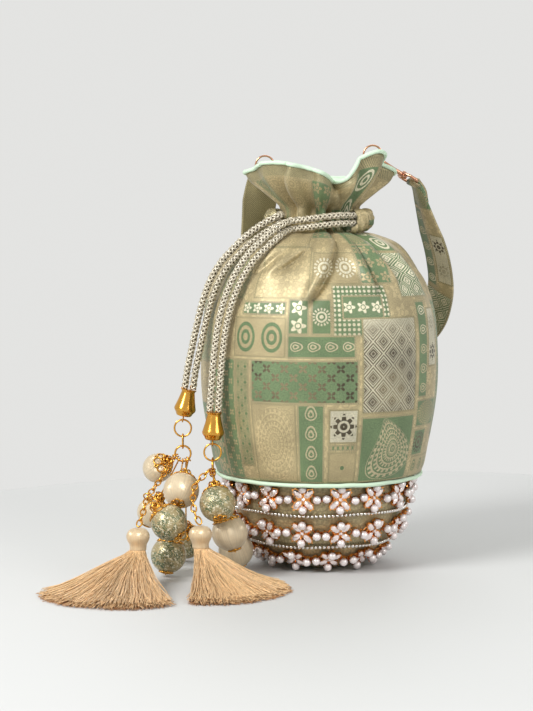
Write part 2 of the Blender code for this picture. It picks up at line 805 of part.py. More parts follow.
def hub_point(side, degrees):
    """Point on the middle line of a hub ring's wire, and the wire's direction there."""
    centre, across, up = hub_frame(side)
    angle = math.radians(degrees)
    point = centre + HUB_RADIUS * (across * math.cos(angle) + up * math.sin(angle))
    along = across * -math.sin(angle) + up * math.cos(angle)
    return point, along


def make_left_rings():
    """Cap ring, oval link and hub ring under the left cap."""
    centre = cap_ring_centre(LEFT_CAP_TOP, LEFT_CAP_FOOT)
    make_ring("cap_ring_left", centre, (0, 1, 0), CAP_RING_RADIUS, CAP_RING_WIRE, gold())
    points = oval_points(LINK_LENGTH - LINK_WIRE, LINK_WIDTH - LINK_WIRE, 12)
    sections = rod_sections(points, [0.5 * LINK_WIRE] * len(points), 5, closed=True)
    matrix = Matrix.Translation(oval_link_centre()) @ Matrix.Rotation(math.pi / 2, 4, "Z")
    place("oval_link", loft(sections, closed=True), gold(), matrix)
    make_ring("hub_ring_left", hub_frame("left")[0], (0, 1, 0), HUB_RADIUS, HUB_WIRE, gold())


def make_right_rings():
    """Cap ring and hub ring under the right cap."""
    centre = cap_ring_centre(RIGHT_CAP_TOP, RIGHT_CAP_FOOT)
    make_ring("cap_ring_right", centre, (0, 1, 0), CAP_RING_RADIUS, CAP_RING_WIRE, gold())
    make_ring("hub_ring_right", hub_frame("right")[0], (1, 0, 0), HUB_RADIUS, HUB_WIRE, gold())


def bead_hang(entry):
    """Centre of a bead, the point and wire direction that its pin's eye holds, and the eye's radius."""
    side, degrees, size, centre = entry
    if side == "chain":
        point = Vector(LEFT_CHAIN_ROUTE[1])
        along = (Vector(LEFT_CHAIN_ROUTE[2]) - Vector(LEFT_CHAIN_ROUTE[0])).normalized()
        return Vector(centre), point, along, 0.5 * (CHAIN_LINK_WIDTH + PIN_EYE_WIRE) + CLEAR
    point, along = hub_point(side, degrees)
    return Vector(centre), point, along, PIN_EYE_RADIUS


def eye_joint(point, along, towards, radius=PIN_EYE_RADIUS):
    """Point on a small eye's wire that lies nearest to what hangs from it."""
    leave = towards - point
    leave -= along * along.dot(leave)
    return point + leave.normalized() * radius


def make_bead(number, entry):
    """Round bead with a bore along its pin."""
    size = entry[2]
    centre, point, along, _ = bead_hang(entry)
    radius = 0.5 * size
    bore = 0.5 * BEAD_BORE
    lip = math.asin(bore / radius)
    arcs = 5
    outline = [
        (radius * math.sin(lip + (math.pi - 2 * lip) * k / arcs),
         radius * math.cos(lip + (math.pi - 2 * lip) * k / arcs))
        for k in range(arcs + 1)
    ]
    surface = brocade() if number in (3, 4, 6, 8) else cream_silk()
    matrix = frame_along(centre, point - centre, along)
    return place(f"bead_{number}", closed_spin(outline, 12), surface, matrix)


def make_bead_pin(number, entry):
    """Pin through a bead, with a flower cap at its foot, a cone cap on top and an eye."""
    size = entry[2]
    centre, point, along, eye_radius = bead_hang(entry)
    radius = 0.5 * size
    wire = 0.5 * PIN
    seat = math.sqrt(radius ** 2 - BEAD_CAP_RADIUS ** 2) + CLEAR
    crown = radius + CLEAR
    foot = radius + CLEAR
    outline = [
        (0.0, -foot - 0.0012),
        (FOOT_CAP_RADIUS, -math.sqrt(radius ** 2 - FOOT_CAP_RADIUS ** 2) - CLEAR - 0.0004),
        (FOOT_CAP_RADIUS * 0.55, -foot),
        (wire, -foot),
        (wire, crown),
        (0.55 * BEAD_CAP_RADIUS, crown),
        (BEAD_CAP_RADIUS, seat + 0.0006),
        (0.28 * BEAD_CAP_RADIUS, seat + BEAD_CAP_HEIGHT),
        (0.0, seat + BEAD_CAP_HEIGHT),
    ]
    matrix = frame_along(centre, point - centre, along)
    pin = place(f"bead_pin_{number}", open_spin(outline, 8), gold(), matrix)
    eye_matrix = Matrix.Translation(point) @ facing(along)
    eye = place(
        f"bead_pin_{number}_eye", ring_mesh(eye_radius, PIN_EYE_WIRE, 8, 4), gold(), eye_matrix)
    neck = matrix @ Vector((0.0, 0.0, seat + BEAD_CAP_HEIGHT - 0.0008))
    ends = [neck, eye_joint(point, along, neck, eye_radius)]
    shank = place(
        f"bead_pin_{number}_shank", loft(rod_sections(ends, [wire, wire], 5)), gold())
    unite(pin, shank, eye)
    return pin


def link_mesh(centre, along, side):
    """One oval chain link, long along a direction and flat across the side direction."""
    sections = rod_sections(
        oval_points(CHAIN_LINK_LENGTH - CHAIN_WIRE, CHAIN_LINK_WIDTH - CHAIN_WIRE, 8),
        [0.5 * CHAIN_WIRE] * 8, 3, closed=True)
    bm = loft(sections, closed=True)
    bmesh.ops.transform(bm, matrix=frame_along(centre, along, side), verts=bm.verts)
    return bm


def make_tassel_chain(name, side, degrees, route, head):
    """Chain from the hub ring to the top of a tassel's head, its links drawn tight as one piece."""
    start, along = hub_point(side, degrees)
    crown = head + Vector((0.0, 0.0, 0.5 * TASSEL_HEAD_HEIGHT + CLEAR))
    top = crown + (Vector(route[-1]) - crown).normalized() * 0.5 * CHAIN_LINK_LENGTH
    leave = eye_joint(start, along, Vector(route[0]))
    away = (leave - start).normalized()
    first = leave + away * 0.5 * (CHAIN_LINK_LENGTH - CHAIN_WIRE)
    points = smooth_route([first, *route, top], CHAIN_LINK_PITCH)
    sideways = Vector((1.0, 0.0, 0.0))
    links = []
    for i, point in enumerate(points):
        run = (points[min(len(points) - 1, i + 1)] - points[max(0, i - 1)]).normalized()
        if i == 0:
            run = away
        flat = sideways if i % 2 else run.cross(sideways)
        links.append(place(f"{name}_link_{i}", link_mesh(point, run, flat), gold()))
    eye_matrix = Matrix.Translation(start) @ facing(along)
    links.append(place(name + "_eye", ring_mesh(PIN_EYE_RADIUS, PIN_EYE_WIRE, 8, 4), gold(), eye_matrix))
    chain = links[0]
    chain.name = name
    unite(chain, *links[1:])
    return chain


def make_tassel(place_name, head, fan):
    """Bound head of a tassel and its skirt of threads, fanned out on the table."""
    half = 0.5 * TASSEL_HEAD_HEIGHT
    radius = 0.5 * TASSEL_HEAD
    outline = [(0.0, half)]
    for k in range(1, 6):
        angle = math.pi * k / 6
        outline.append((radius * math.sin(angle), half * math.cos(angle)))
    outline.append((0.55 * radius, -half))
    outline.append((0.0, -half))
    place(f"tassel_head_{place_name}", open_spin(outline, 12), champagne_silk(), Matrix.Translation(head))
    middle, spread, reach = fan
    sections = []
    rows = 6
    for row in range(rows):
        share = row / (rows - 1)
        distance = 0.0006 + (reach - 0.0006) * share
        swing = spread * (0.25 + 0.75 * share ** 0.5)
        thick = 0.5 * SKIRT_THICKNESS * (1.0 - 0.72 * share)
        top_height = head.z - half - CLEAR - 0.5 * SKIRT_THICKNESS
        height = (CLEAR + thick) * share + top_height * (1.0 - share) ** 1.6
        height = max(height, CLEAR + thick)
        half_width = max(0.0035, distance * swing)
        section = []
        for k in range(12):
            turn = math.tau * k / 12
            angle = middle + half_width / max(distance, 0.0045) * math.cos(turn)
            spot = Vector((math.cos(angle), math.sin(angle), 0.0)) * max(distance, 0.0045)
            if row == 0:
                spot = Vector((math.cos(middle), math.sin(middle), 0.0)) * distance
                spot += Vector((-math.sin(middle), math.cos(middle), 0.0)) * half_width * math.cos(turn)
            section.append((head.x + spot.x, head.y + spot.y, height + thick * math.sin(turn)))
        sections.append(section)
    return place(f"tassel_skirt_{place_name}", loft(sections), champagne_silk())


def gathered_column(profile, angle):
    """A profile after the gathers and lobes are pressed in, at one angle."""
    bm = bmesh.new()
    for reach, height in profile:
        bm.verts.new((reach * math.cos(angle), reach * math.sin(angle), height))
    gather(bm)
    column = [vert.co.copy() for vert in bm.verts]
    bm.free()
    return column


def frill_height(radius, angle):
    """Height at which the faceted lining inside the frill reaches a radius, at an angle."""
    skin = inward(lining_profile(), LINING_CLOTH)
    skin = [point for point in skin if point[1] >= NECK_HIGH - CLOTH]
    fine = []
    for (r1, z1), (r2, z2) in zip(skin, skin[1:]):
        fine += [(r1 + (r2 - r1) * k / 20, z1 + (z2 - z1) * k / 20) for k in range(20)]
    step = math.tau / STEPS_AROUND
    share = angle / step - math.floor(angle / step)
    near = gathered_column(fine, step * math.floor(angle / step))
    far = gathered_column(fine, step * (math.floor(angle / step) + 1))
    spots = [a.lerp(b, share) for a, b in zip(near, far)]
    return min(spot.z for spot in spots if math.hypot(spot.x, spot.y) >= radius)


def make_tab(place_name, ring):
    """Folded cloth tab inside the frill that holds a rim ring."""
    wire_height = ring.z - RIM_RING_RADIUS
    inner_half = 0.5 * RIM_RING_WIRE + TAB_PLAY
    outer_half = inner_half + TAB_THICKNESS
    reach = abs(ring.x) + 0.5 * TAB_WIDTH
    low = 3 * CLEAR + max(
        frill_height(math.hypot(reach, outer_half), math.atan2(y, math.copysign(reach, ring.x)))
        for y in (-outer_half, outer_half))
    bm = bmesh.new()
    rows = []
    for x in (ring.x - 0.5 * TAB_WIDTH, ring.x + 0.5 * TAB_WIDTH):
        outer = [(outer_half, low)]
        inner = [(inner_half, low + TAB_THICKNESS)]
        for k in range(5):
            angle = math.pi * k / 4
            outer.append((outer_half * math.cos(angle), wire_height + outer_half * math.sin(angle)))
            inner.append((inner_half * math.cos(angle), wire_height + inner_half * math.sin(angle)))
        outer.append((-outer_half, low))
        inner.append((-inner_half, low + TAB_THICKNESS))
        rows.append([[bm.verts.new((x, ring.y + y, z)) for y, z in loop] for loop in (outer, inner)])
    near, far = rows
    count = len(near[0])
    for loop in (0, 1):
        for k in range(count):
            bm.faces.new((near[loop][k - 1], near[loop][k], far[loop][k], far[loop][k - 1]))
    for row in rows:
        for k in range(count):
            bm.faces.new((row[0][k - 1], row[0][k], row[1][k], row[1][k - 1]))
    return place(f"ring_tab_{place_name}", bm, mint_satin(), smooth=False)


def hook_frame(ring, angle, run):
    """Matrix of a hook: +Z runs from the ring towards the strap, +Y is the ring's wire."""
    point = ring + RIM_RING_RADIUS * Vector((math.cos(angle), 0.0, math.sin(angle)))
    wire = Vector((-math.sin(angle), 0.0, math.cos(angle)))
    along = run.normalized()
    across = wire.cross(along)
    return frame_along(point, along, across)


def loop_frame(hook, bar):
    """Matrix of a hook's loop, turned on the hook's stem so that its bar lies along +Y."""
    along = hook.to_3x3() @ Vector((0, 0, 1))
    return frame_along(hook.translation, along, bar.cross(along))


def make_claw(place_name, matrix):
    """Cast claw of a snap hook with its turned swivel stem."""
    half = 0.5 * CLAW_WIRE
    bend = CLAW_EYE + half
    centre = CLAW_EYE - 0.5 * RIM_RING_WIRE - CLEAR
    points = [Vector((-bend * math.cos(a), 0.0, centre - bend * math.sin(a))) for a in
              [math.radians(d) for d in (-40, -12, 20, 50, 80, 110, 140, 168, 190)]]
    points = points[::-1]
    radii = [0.8 * half] + [half] * 8
    shank = (
        ((-0.0018, 0.0080), 1.00 * half),
        ((0.0, 0.0102), 1.15 * half),
        ((0.0, 0.0128), 1.35 * half),
        ((0.0, 0.0146), 1.35 * half),
        ((0.0, 0.0150), 0.5 * SWIVEL_STEM),
        ((0.0, 0.0150 + COLLAR_HEIGHT + 2 * CLEAR), 0.5 * SWIVEL_STEM),
        ((0.0, 0.0153 + COLLAR_HEIGHT + 2 * CLEAR), 0.5 * SWIVEL_HEAD),
        ((0.0, 0.0163 + COLLAR_HEIGHT + 2 * CLEAR), 0.5 * SWIVEL_HEAD),
    )
    for (x, z), radius in shank:
        points.append(Vector((x, 0.0, z)))
        radii.append(radius)
    sections = rod_sections(points, radii, 6)
    return place(f"hook_claw_{place_name}", loft(sections), rose_gold(), matrix)


def make_gate(place_name, matrix):
    """Sprung gate that closes the claw, turning about its foot beside the shank."""
    half = 0.5 * CLAW_WIRE
    foot = Vector((half * 1.15 + CLEAR + 0.0008, 0.0, 0.0104))
    tip = Vector((CLAW_EYE + half - 0.0004, 0.0, 0.0052))
    points = [foot, foot.lerp(tip, 0.5), tip]
    points = [point - foot for point in points]
    sections = rod_sections(points, [0.0006, 0.0007, 0.0006], 6)
    return place(f"hook_gate_{place_name}", loft(sections), rose_gold(), matrix @ Matrix.Translation(foot))


def make_loop(place_name, matrix):
    """Rectangular swivel loop with the collar that the claw's stem turns in."""
    start = 0.0150 + CLEAR
    outline = [
        (0.5 * SWIVEL_STEM + CLEAR, start), (0.5 * COLLAR, start),
        (0.5 * COLLAR, start + COLLAR_HEIGHT), (0.5 * SWIVEL_STEM + CLEAR, start + COLLAR_HEIGHT),
    ]
    collar = place(f"hook_loop_{place_name}", closed_spin(outline, 12), rose_gold(), matrix)
    half = 0.5 * (LOOP_WIDTH - LOOP_WIRE)
    high = start + 0.5 * COLLAR_HEIGHT
    low = high + LOOP_LENGTH
    corner = 0.0012
    path = [
        (0.5 * COLLAR - 0.0005, high), (half - corner, high), (half, high + corner),
        (half, low - corner), (half - corner, low), (corner - half, low),
        (-half, low - corner), (-half, high + corner), (corner - half, high), (0.0005 - 0.5 * COLLAR, high),
    ]
    points = [Vector((0.0, y, z)) for y, z in path]
    sections = rod_sections(points, [0.5 * LOOP_WIRE] * len(points), 6)
    wire = place(f"hook_loop_{place_name}_wire", loft(sections), rose_gold(), matrix)
    unite(collar, wire)
    return collar


def loop_bar(matrix):
    """Middle of the loop's far bar, its direction and the hook's run, in world space."""
    depth = 0.0150 + CLEAR + 0.5 * COLLAR_HEIGHT + LOOP_LENGTH
    turn = matrix.to_3x3()
    return matrix @ Vector((0.0, 0.0, depth)), turn @ Vector((0, 1, 0)), turn @ Vector((0, 0, 1))


def bar_wrap(bar, across, run):
    """Middle line of the strap's folded end round a bar, from its sewn tail above to the strap below."""
    bend = 0.5 * LOOP_WIRE + CLEAR + 0.5 * STRAP_THICKNESS
    lift = run.cross(across).normalized()
    if lift.z > 0:
        lift = -lift
    path = [bar + run * STRAP_TAIL - lift * bend, bar + run * 0.5 * STRAP_TAIL - lift * bend]
    for degrees in (-90, -135, 180, 135, 90):
        angle = math.radians(degrees)
        path.append(bar + (run * math.cos(angle) + lift * math.sin(angle)) * bend)
    path.append(bar + lift * bend + run * 2 * bend)
    return path


def make_strap(right_matrix, left_matrix):
    """Brocade strap, folded round the bar of each hook's loop."""
    right_bar, right_across, right_run = loop_bar(right_matrix)
    left_bar, left_across, left_run = loop_bar(left_matrix)
    right = [(p, right_across, STRAP_END_WIDTH) for p in bar_wrap(right_bar, right_across, right_run)]
    left = [(p, left_across, STRAP_END_WIDTH) for p in bar_wrap(left_bar, left_across, left_run)]
    middle_points = smooth_route([right[-1][0], *[Vector(p) for p, w in STRAP_ROUTE], left[-1][0]], 0.011)
    widths = [right_across, *[Vector(w) for p, w in STRAP_ROUTE], left_across]
    count = len(middle_points)
    line = list(right)
    for i in range(1, count - 1):
        share = i / (count - 1) * (len(widths) - 1)
        low = min(int(share), len(widths) - 2)
        across = widths[low].lerp(widths[low + 1], share - low)
        from_end = min(i, count - 1 - i)
        width = STRAP_END_WIDTH + (STRAP_WIDTH - STRAP_END_WIDTH) * min(1.0, from_end / 3)
        line.append((middle_points[i], across, width))
    line += left[::-1]
    sections = []
    for i, (point, across, width) in enumerate(line):
        along = (line[min(len(line) - 1, i + 1)][0] - line[max(0, i - 1)][0]).normalized()
        across = (across - along * along.dot(across)).normalized()
        out = along.cross(across)
        sections.append([
            point + across * (0.5 * width * sx) + out * (0.5 * STRAP_THICKNESS * sy)
            for sx, sy in ((-1, -1), (1, -1), (1, 1), (-1, 1))
        ])
    return place("strap", loft(sections), brocade(), smooth=False)


def main():
    clear_scene()
    make_body()
    make_lining()
    make_rim_piping()
    make_seam_piping()
    make_bowl()
    for number, (height, flowers) in enumerate(zip(BAND_HEIGHTS, BAND_FLOWERS), 1):
        make_band(number, height, flowers)
    for number, height in enumerate(CHAIN_HEIGHTS, 1):
        make_ball_chain(number, height)
    make_casing()
    make_drawstring(1, 1.0)
    make_drawstring(2, -1.0)
    make_cord_pair("left", LEFT_CORD_ROUTE, LEFT_CAP_TOP, LEFT_CAP_FOOT)
    make_cord_pair("right", RIGHT_CORD_ROUTE, RIGHT_CAP_TOP, RIGHT_CAP_FOOT)
    make_end_cap("left", LEFT_CAP_TOP, LEFT_CAP_FOOT)
    make_end_cap("right", RIGHT_CAP_TOP, RIGHT_CAP_FOOT)
    make_left_rings()
    make_right_rings()
    for number, entry in enumerate(BEADS, 1):
        make_bead(number, entry)
        make_bead_pin(number, entry)
    make_tassel_chain("tassel_chain_left", "left", LEFT_CHAIN_EYE, LEFT_CHAIN_ROUTE, LEFT_HEAD)
    make_tassel_chain("tassel_chain_right", "right", RIGHT_CHAIN_EYE, RIGHT_CHAIN_ROUTE, RIGHT_HEAD)
    make_tassel("left", LEFT_HEAD, LEFT_FAN)
    make_tassel("right", RIGHT_HEAD, RIGHT_FAN)
    right_hook = hook_frame(RIGHT_RING, RIGHT_HOOK_ANGLE, RIGHT_HOOK_RUN)
    left_hook = hook_frame(LEFT_RING, LEFT_HOOK_ANGLE, LEFT_HOOK_RUN)
    right_loop = loop_frame(right_hook, RIGHT_BAR)
    left_loop = loop_frame(left_hook, LEFT_BAR)
    for place_name, ring, hook, loop in (
            ("left", LEFT_RING, left_hook, left_loop), ("right", RIGHT_RING, right_hook, right_loop)):
        make_tab(place_name, ring)
        make_ring(
            f"rim_ring_{place_name}", ring, (0, 1, 0), RIM_RING_RADIUS, RIM_RING_WIRE, rose_gold(), 14, 5)
        make_claw(place_name, hook)
        make_gate(place_name, hook)
        make_loop(place_name, loop)
    make_strap(right_loop, left_loop)


main()
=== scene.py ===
"""Potli bag: looks of a gathered brocade pouch with a pearl base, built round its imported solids."""

import math
import random

import bmesh
import bpy
from mathutils import Matrix, Vector, noise


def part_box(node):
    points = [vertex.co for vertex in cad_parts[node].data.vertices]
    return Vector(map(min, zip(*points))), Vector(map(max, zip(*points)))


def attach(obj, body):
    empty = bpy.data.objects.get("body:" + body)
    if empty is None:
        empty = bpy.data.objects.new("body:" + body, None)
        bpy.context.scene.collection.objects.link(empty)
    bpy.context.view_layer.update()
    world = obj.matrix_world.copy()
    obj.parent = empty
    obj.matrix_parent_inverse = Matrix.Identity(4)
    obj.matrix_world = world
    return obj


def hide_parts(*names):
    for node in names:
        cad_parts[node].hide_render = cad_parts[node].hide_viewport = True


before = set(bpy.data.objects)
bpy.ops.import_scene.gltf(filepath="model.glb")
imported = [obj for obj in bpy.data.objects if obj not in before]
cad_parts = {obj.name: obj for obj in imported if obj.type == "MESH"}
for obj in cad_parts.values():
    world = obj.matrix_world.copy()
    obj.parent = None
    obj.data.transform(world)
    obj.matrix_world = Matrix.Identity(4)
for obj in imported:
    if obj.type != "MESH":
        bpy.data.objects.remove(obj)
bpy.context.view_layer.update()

bl_info = {
    "name": "Potli Bag",
    "version": (1, 0, 0),
    "blender": (4, 5, 0),
    "location": "View3D > Sidebar > Potli",
    "description": "Dresses the solids of a potli bag with cloth, pearls, cords and tassels",
    "category": "Add Mesh",
}

MM = 0.001
CLEAR = 0.0003
X, Y, Z = Vector((1, 0, 0)), Vector((0, 1, 0)), Vector((0, 0, 1))
FRONT = -0.5 * math.pi

# Bag outline from the seam to the rim: radius and height
OUTLINE = (
    (0.0565, 0.0521), (0.0590, 0.0600), (0.0635, 0.0850), (0.0652, 0.1100), (0.0640, 0.1360),
    (0.0590, 0.1530), (0.0515, 0.1665), (0.0420, 0.1765), (0.0290, 0.1818), (0.0190, 0.1845),
    (0.0190, 0.1955), (0.0215, 0.1985), (0.0300, 0.2045), (0.0360, 0.2085), (0.0392, 0.2125),
)
NECK_LOW, NECK_HIGH, RIM_HEIGHT = 0.1845, 0.1955, 0.2125
FOLDS, FOLD_DEPTH, FOLD_START = 12, 0.0028, 0.120

# Lobes and notch of the frill: middle, width, rise and tuck
LOBES = (
    (math.radians(-68.0), math.radians(17.0), -0.0065, 0.0085),
    (math.radians(-36.0), math.radians(26.0), 0.0130, 0.0),
    (math.radians(-135.0), math.radians(42.0), 0.0068, 0.0),
)

# Deep creases that run down from the drawn neck: angle at the neck, angle at the foot,
# height of the foot, depth and width
CREASES = (
    (-77.0, -97.5, 0.144, 0.0090, 3.4),
    (-63.0, -60.0, 0.150, 0.0085, 3.4),
    (-46.0, -42.0, 0.155, 0.0062, 4.0),
    (-29.0, -22.0, 0.149, 0.0058, 4.2),
    (-96.0, -118.0, 0.160, 0.0056, 4.2),
    (-112.0, -131.0, 0.160, 0.0038, 4.6),
    (-8.0, -2.0, 0.150, 0.0032, 5.0),
    (14.0, 22.0, 0.152, 0.0030, 5.0),
    (40.0, 44.0, 0.148, 0.0034, 5.0),
    (68.0, 66.0, 0.155, 0.0032, 5.0),
    (95.0, 98.0, 0.149, 0.0034, 5.0),
    (122.0, 119.0, 0.154, 0.0030, 5.0),
    (150.0, 152.0, 0.148, 0.0032, 5.0),
    (176.0, 172.0, 0.152, 0.0030, 5.0),
)

CREASE_TOP, FRILL_FOOT = 0.178, NECK_HIGH - 0.006

# Creases of the frill: angle at the rim, angle at the neck, depth and width
FRILL_CREASES = (
    (-121.0, -140.0, 0.0050, 4.5), (-73.0, -58.0, 0.0060, 5.0), (-97.0, -98.0, 0.0024, 5.0),
    (-48.0, -34.0, 0.0030, 5.0), (-150.0, -158.0, 0.0034, 5.0), (-14.0, -12.0, 0.0034, 5.0),
    (18.0, 20.0, 0.0040, 5.0), (52.0, 48.0, 0.0036, 5.0), (84.0, 80.0, 0.0040, 5.0),
    (112.0, 116.0, 0.0036, 5.0), (146.0, 144.0, 0.0040, 5.0),
)

# Pipings: how far the rim's lies out of the rim and above it, and radius and drop of the seam's
PIPING_OUT, PIPING_UP, SEAM_PIPING, SEAM_DROP = 0.0004, 0.0008, 0.0561, 0.0008

# Base bowl
BOWL_RADIUS, BOWL_FLAT, SEAM_HEIGHT = 0.0485, 0.018, 0.0515
BOWL_CENTRE = math.sqrt(BOWL_RADIUS ** 2 - BOWL_FLAT ** 2)
BANDS = ((0.0425, 16), (0.0245, 14), (0.0092, 11))
CHAIN_ROWS = (0.0338, 0.0160)
FLOWER_HALF = 0.0056

# Drawstring
CORD_PITCH, BRAID_PITCH = 0.0044, 0.0070
CASING_LEFT, CASING_RIGHT, FRONT_END = math.radians(205.0), math.radians(-48.0), math.radians(-100.0)
CASING_RADIUS, CASING_HEIGHT = 0.0251, 0.1900
LEFT_CORD = (
    (-0.0212, -0.0165, 0.1903), (-0.0214, -0.0225, 0.1900), (-0.0245, -0.0268, 0.1885),
    (-0.0310, -0.0282, 0.1848), (-0.0388, -0.0295, 0.1790), (-0.0458, -0.0295, 0.1722),
    (-0.0520, -0.0292, 0.1652), (-0.0572, -0.0290, 0.1562), (-0.0612, -0.0288, 0.1450),
    (-0.0642, -0.0288, 0.1330), (-0.0670, -0.0290, 0.1200), (-0.0693, -0.0298, 0.1090),
)
RIGHT_CORD = (
    (-0.0162, -0.0264, 0.1868), (-0.0208, -0.0318, 0.1848), (-0.0250, -0.0366, 0.1816),
    (-0.0300, -0.0402, 0.1772), (-0.0370, -0.0428, 0.1702), (-0.0435, -0.0446, 0.1605),
    (-0.0485, -0.0455, 0.1490), (-0.0520, -0.0452, 0.1360), (-0.0540, -0.0452, 0.1230),
    (-0.0553, -0.0453, 0.1100), (-0.0562, -0.0452, 0.0975),
)
CAPS = {
    "left": (Vector((-0.0707, -0.0300, 0.0992)), Vector((-0.0736, -0.0300, 0.0847))),
    "right": (Vector((-0.0568, -0.0450, 0.0885)), Vector((-0.0575, -0.0450, 0.0736))),
}

# Hub ring of each side: the ring's two axes, and what hangs from it
HUB_AXES = {"left": (X, Z), "right": (Y, Z)}
HUB_RADIUS, EYE_RADIUS = 0.0042, 0.0014
LINK_LONG, LINK_WIDE, LINK_PITCH = 0.0023, 0.0014, 0.0037
BEADS = (
    ("left", 190.0, 0.0160, (-0.0885, -0.0180, 0.0549)),
    ("left", 316.0, 0.0190, (-0.0742, -0.0460, 0.0469)),
    ("chain", 0.0, 0.0190, (-0.0800, -0.0600, 0.0320)),
    ("left", 268.0, 0.0190, (-0.0813, -0.0420, 0.0115)),
    ("right", 262.0, 0.0190, (-0.0485, -0.0500, 0.0248)),
    ("right", 228.0, 0.0190, (-0.0546, -0.0600, 0.0419)),
    ("left", 238.0, 0.0160, (-0.0911, -0.0250, 0.0319)),
    ("left", 292.0, 0.0190, (-0.0738, -0.0010, 0.0115)),
    ("right", 300.0, 0.0190, (-0.0456, -0.0271, 0.0115)),
)
BROCADE_BEADS = (3, 4, 6, 8)
CHAIN_EYES = {"left": 214.0, "right": 200.0}
CHAIN_ROUTES = {
    "left": ((-0.0855, -0.0450, 0.0523), (-0.0912, -0.0550, 0.0447), (-0.0932, -0.0625, 0.0383)),
    "right": ((-0.0668, -0.0555, 0.0500), (-0.0668, -0.0660, 0.0400)),
}
HEADS = {"left": Vector((-0.0955, -0.0700, 0.0251)), "right": Vector((-0.0632, -0.0700, 0.0262))}
HEAD_HALF = 0.00575
FANS = {
    "left": (math.radians(-112.0), math.radians(44.0), 0.058),
    "right": (math.radians(-47.0), math.radians(48.0), 0.049),
}

# Rim rings, snap hooks and strap
RIM_RINGS = {"left": Vector((-0.0300, 0.0, 0.2195)), "right": Vector((0.0290, 0.0, 0.2252))}
RING_RADIUS, CLAW_WIRE = 0.0050, 0.0009
COLLAR_START, LOOP_START, LOOP_END, COLLAR_END = 0.0153, 0.0161, 0.0231, 0.0169
LOOP_WIDTH, LOOP_WIRE, LOOP_GAP, LOOP_CORNER = 0.0150, 0.00085, 0.0017, 0.0014
STRAP_SEAT, STRAP_THICK, STRAP_NARROW = 0.0006, 0.0011, 0.0098
HOOK_ANGLES = {"left": math.radians(10.0), "right": math.radians(-35.0)}
HOOK_RUNS = {"left": Vector((-0.10, 0.99, -0.02)), "right": Vector((0.80, 0.31, -0.50))}
HOOK_BARS = {"left": Vector((-1.0, -0.10, 0.0)), "right": Vector((0.37, -0.93, 0.0))}
STRAP_ROUTE = (
    ((0.0600, 0.0180, 0.1900), (0.45, -0.89, 0.0)), ((0.0675, 0.0300, 0.1680), (0.55, -0.83, 0.0)),
    ((0.0700, 0.0400, 0.1480), (0.58, -0.81, 0.0)), ((0.0640, 0.0560, 0.1280), (0.60, -0.80, 0.0)),
    ((0.0450, 0.0750, 0.1140), (0.40, -0.92, 0.0)), ((0.0150, 0.0840, 0.1080), (0.10, -1.00, 0.0)),
    ((-0.0150, 0.0820, 0.1130), (-0.25, -0.97, 0.0)), ((-0.0345, 0.0710, 0.1330), (-0.35, -0.94, 0.0)),
    ((-0.0385, 0.0600, 0.1590), (-0.40, -0.92, 0.0)), ((-0.0345, 0.0530, 0.1850), (-0.50, -0.87, 0.0)),
    ((-0.0325, 0.0465, 0.2060), (-0.85, -0.52, 0.0)), ((-0.0312, 0.0395, 0.2168), (-0.99, -0.10, 0.0)),
)

# Width of the flat cloth that repeats at the back, in millimetres
REPEAT = 194.8

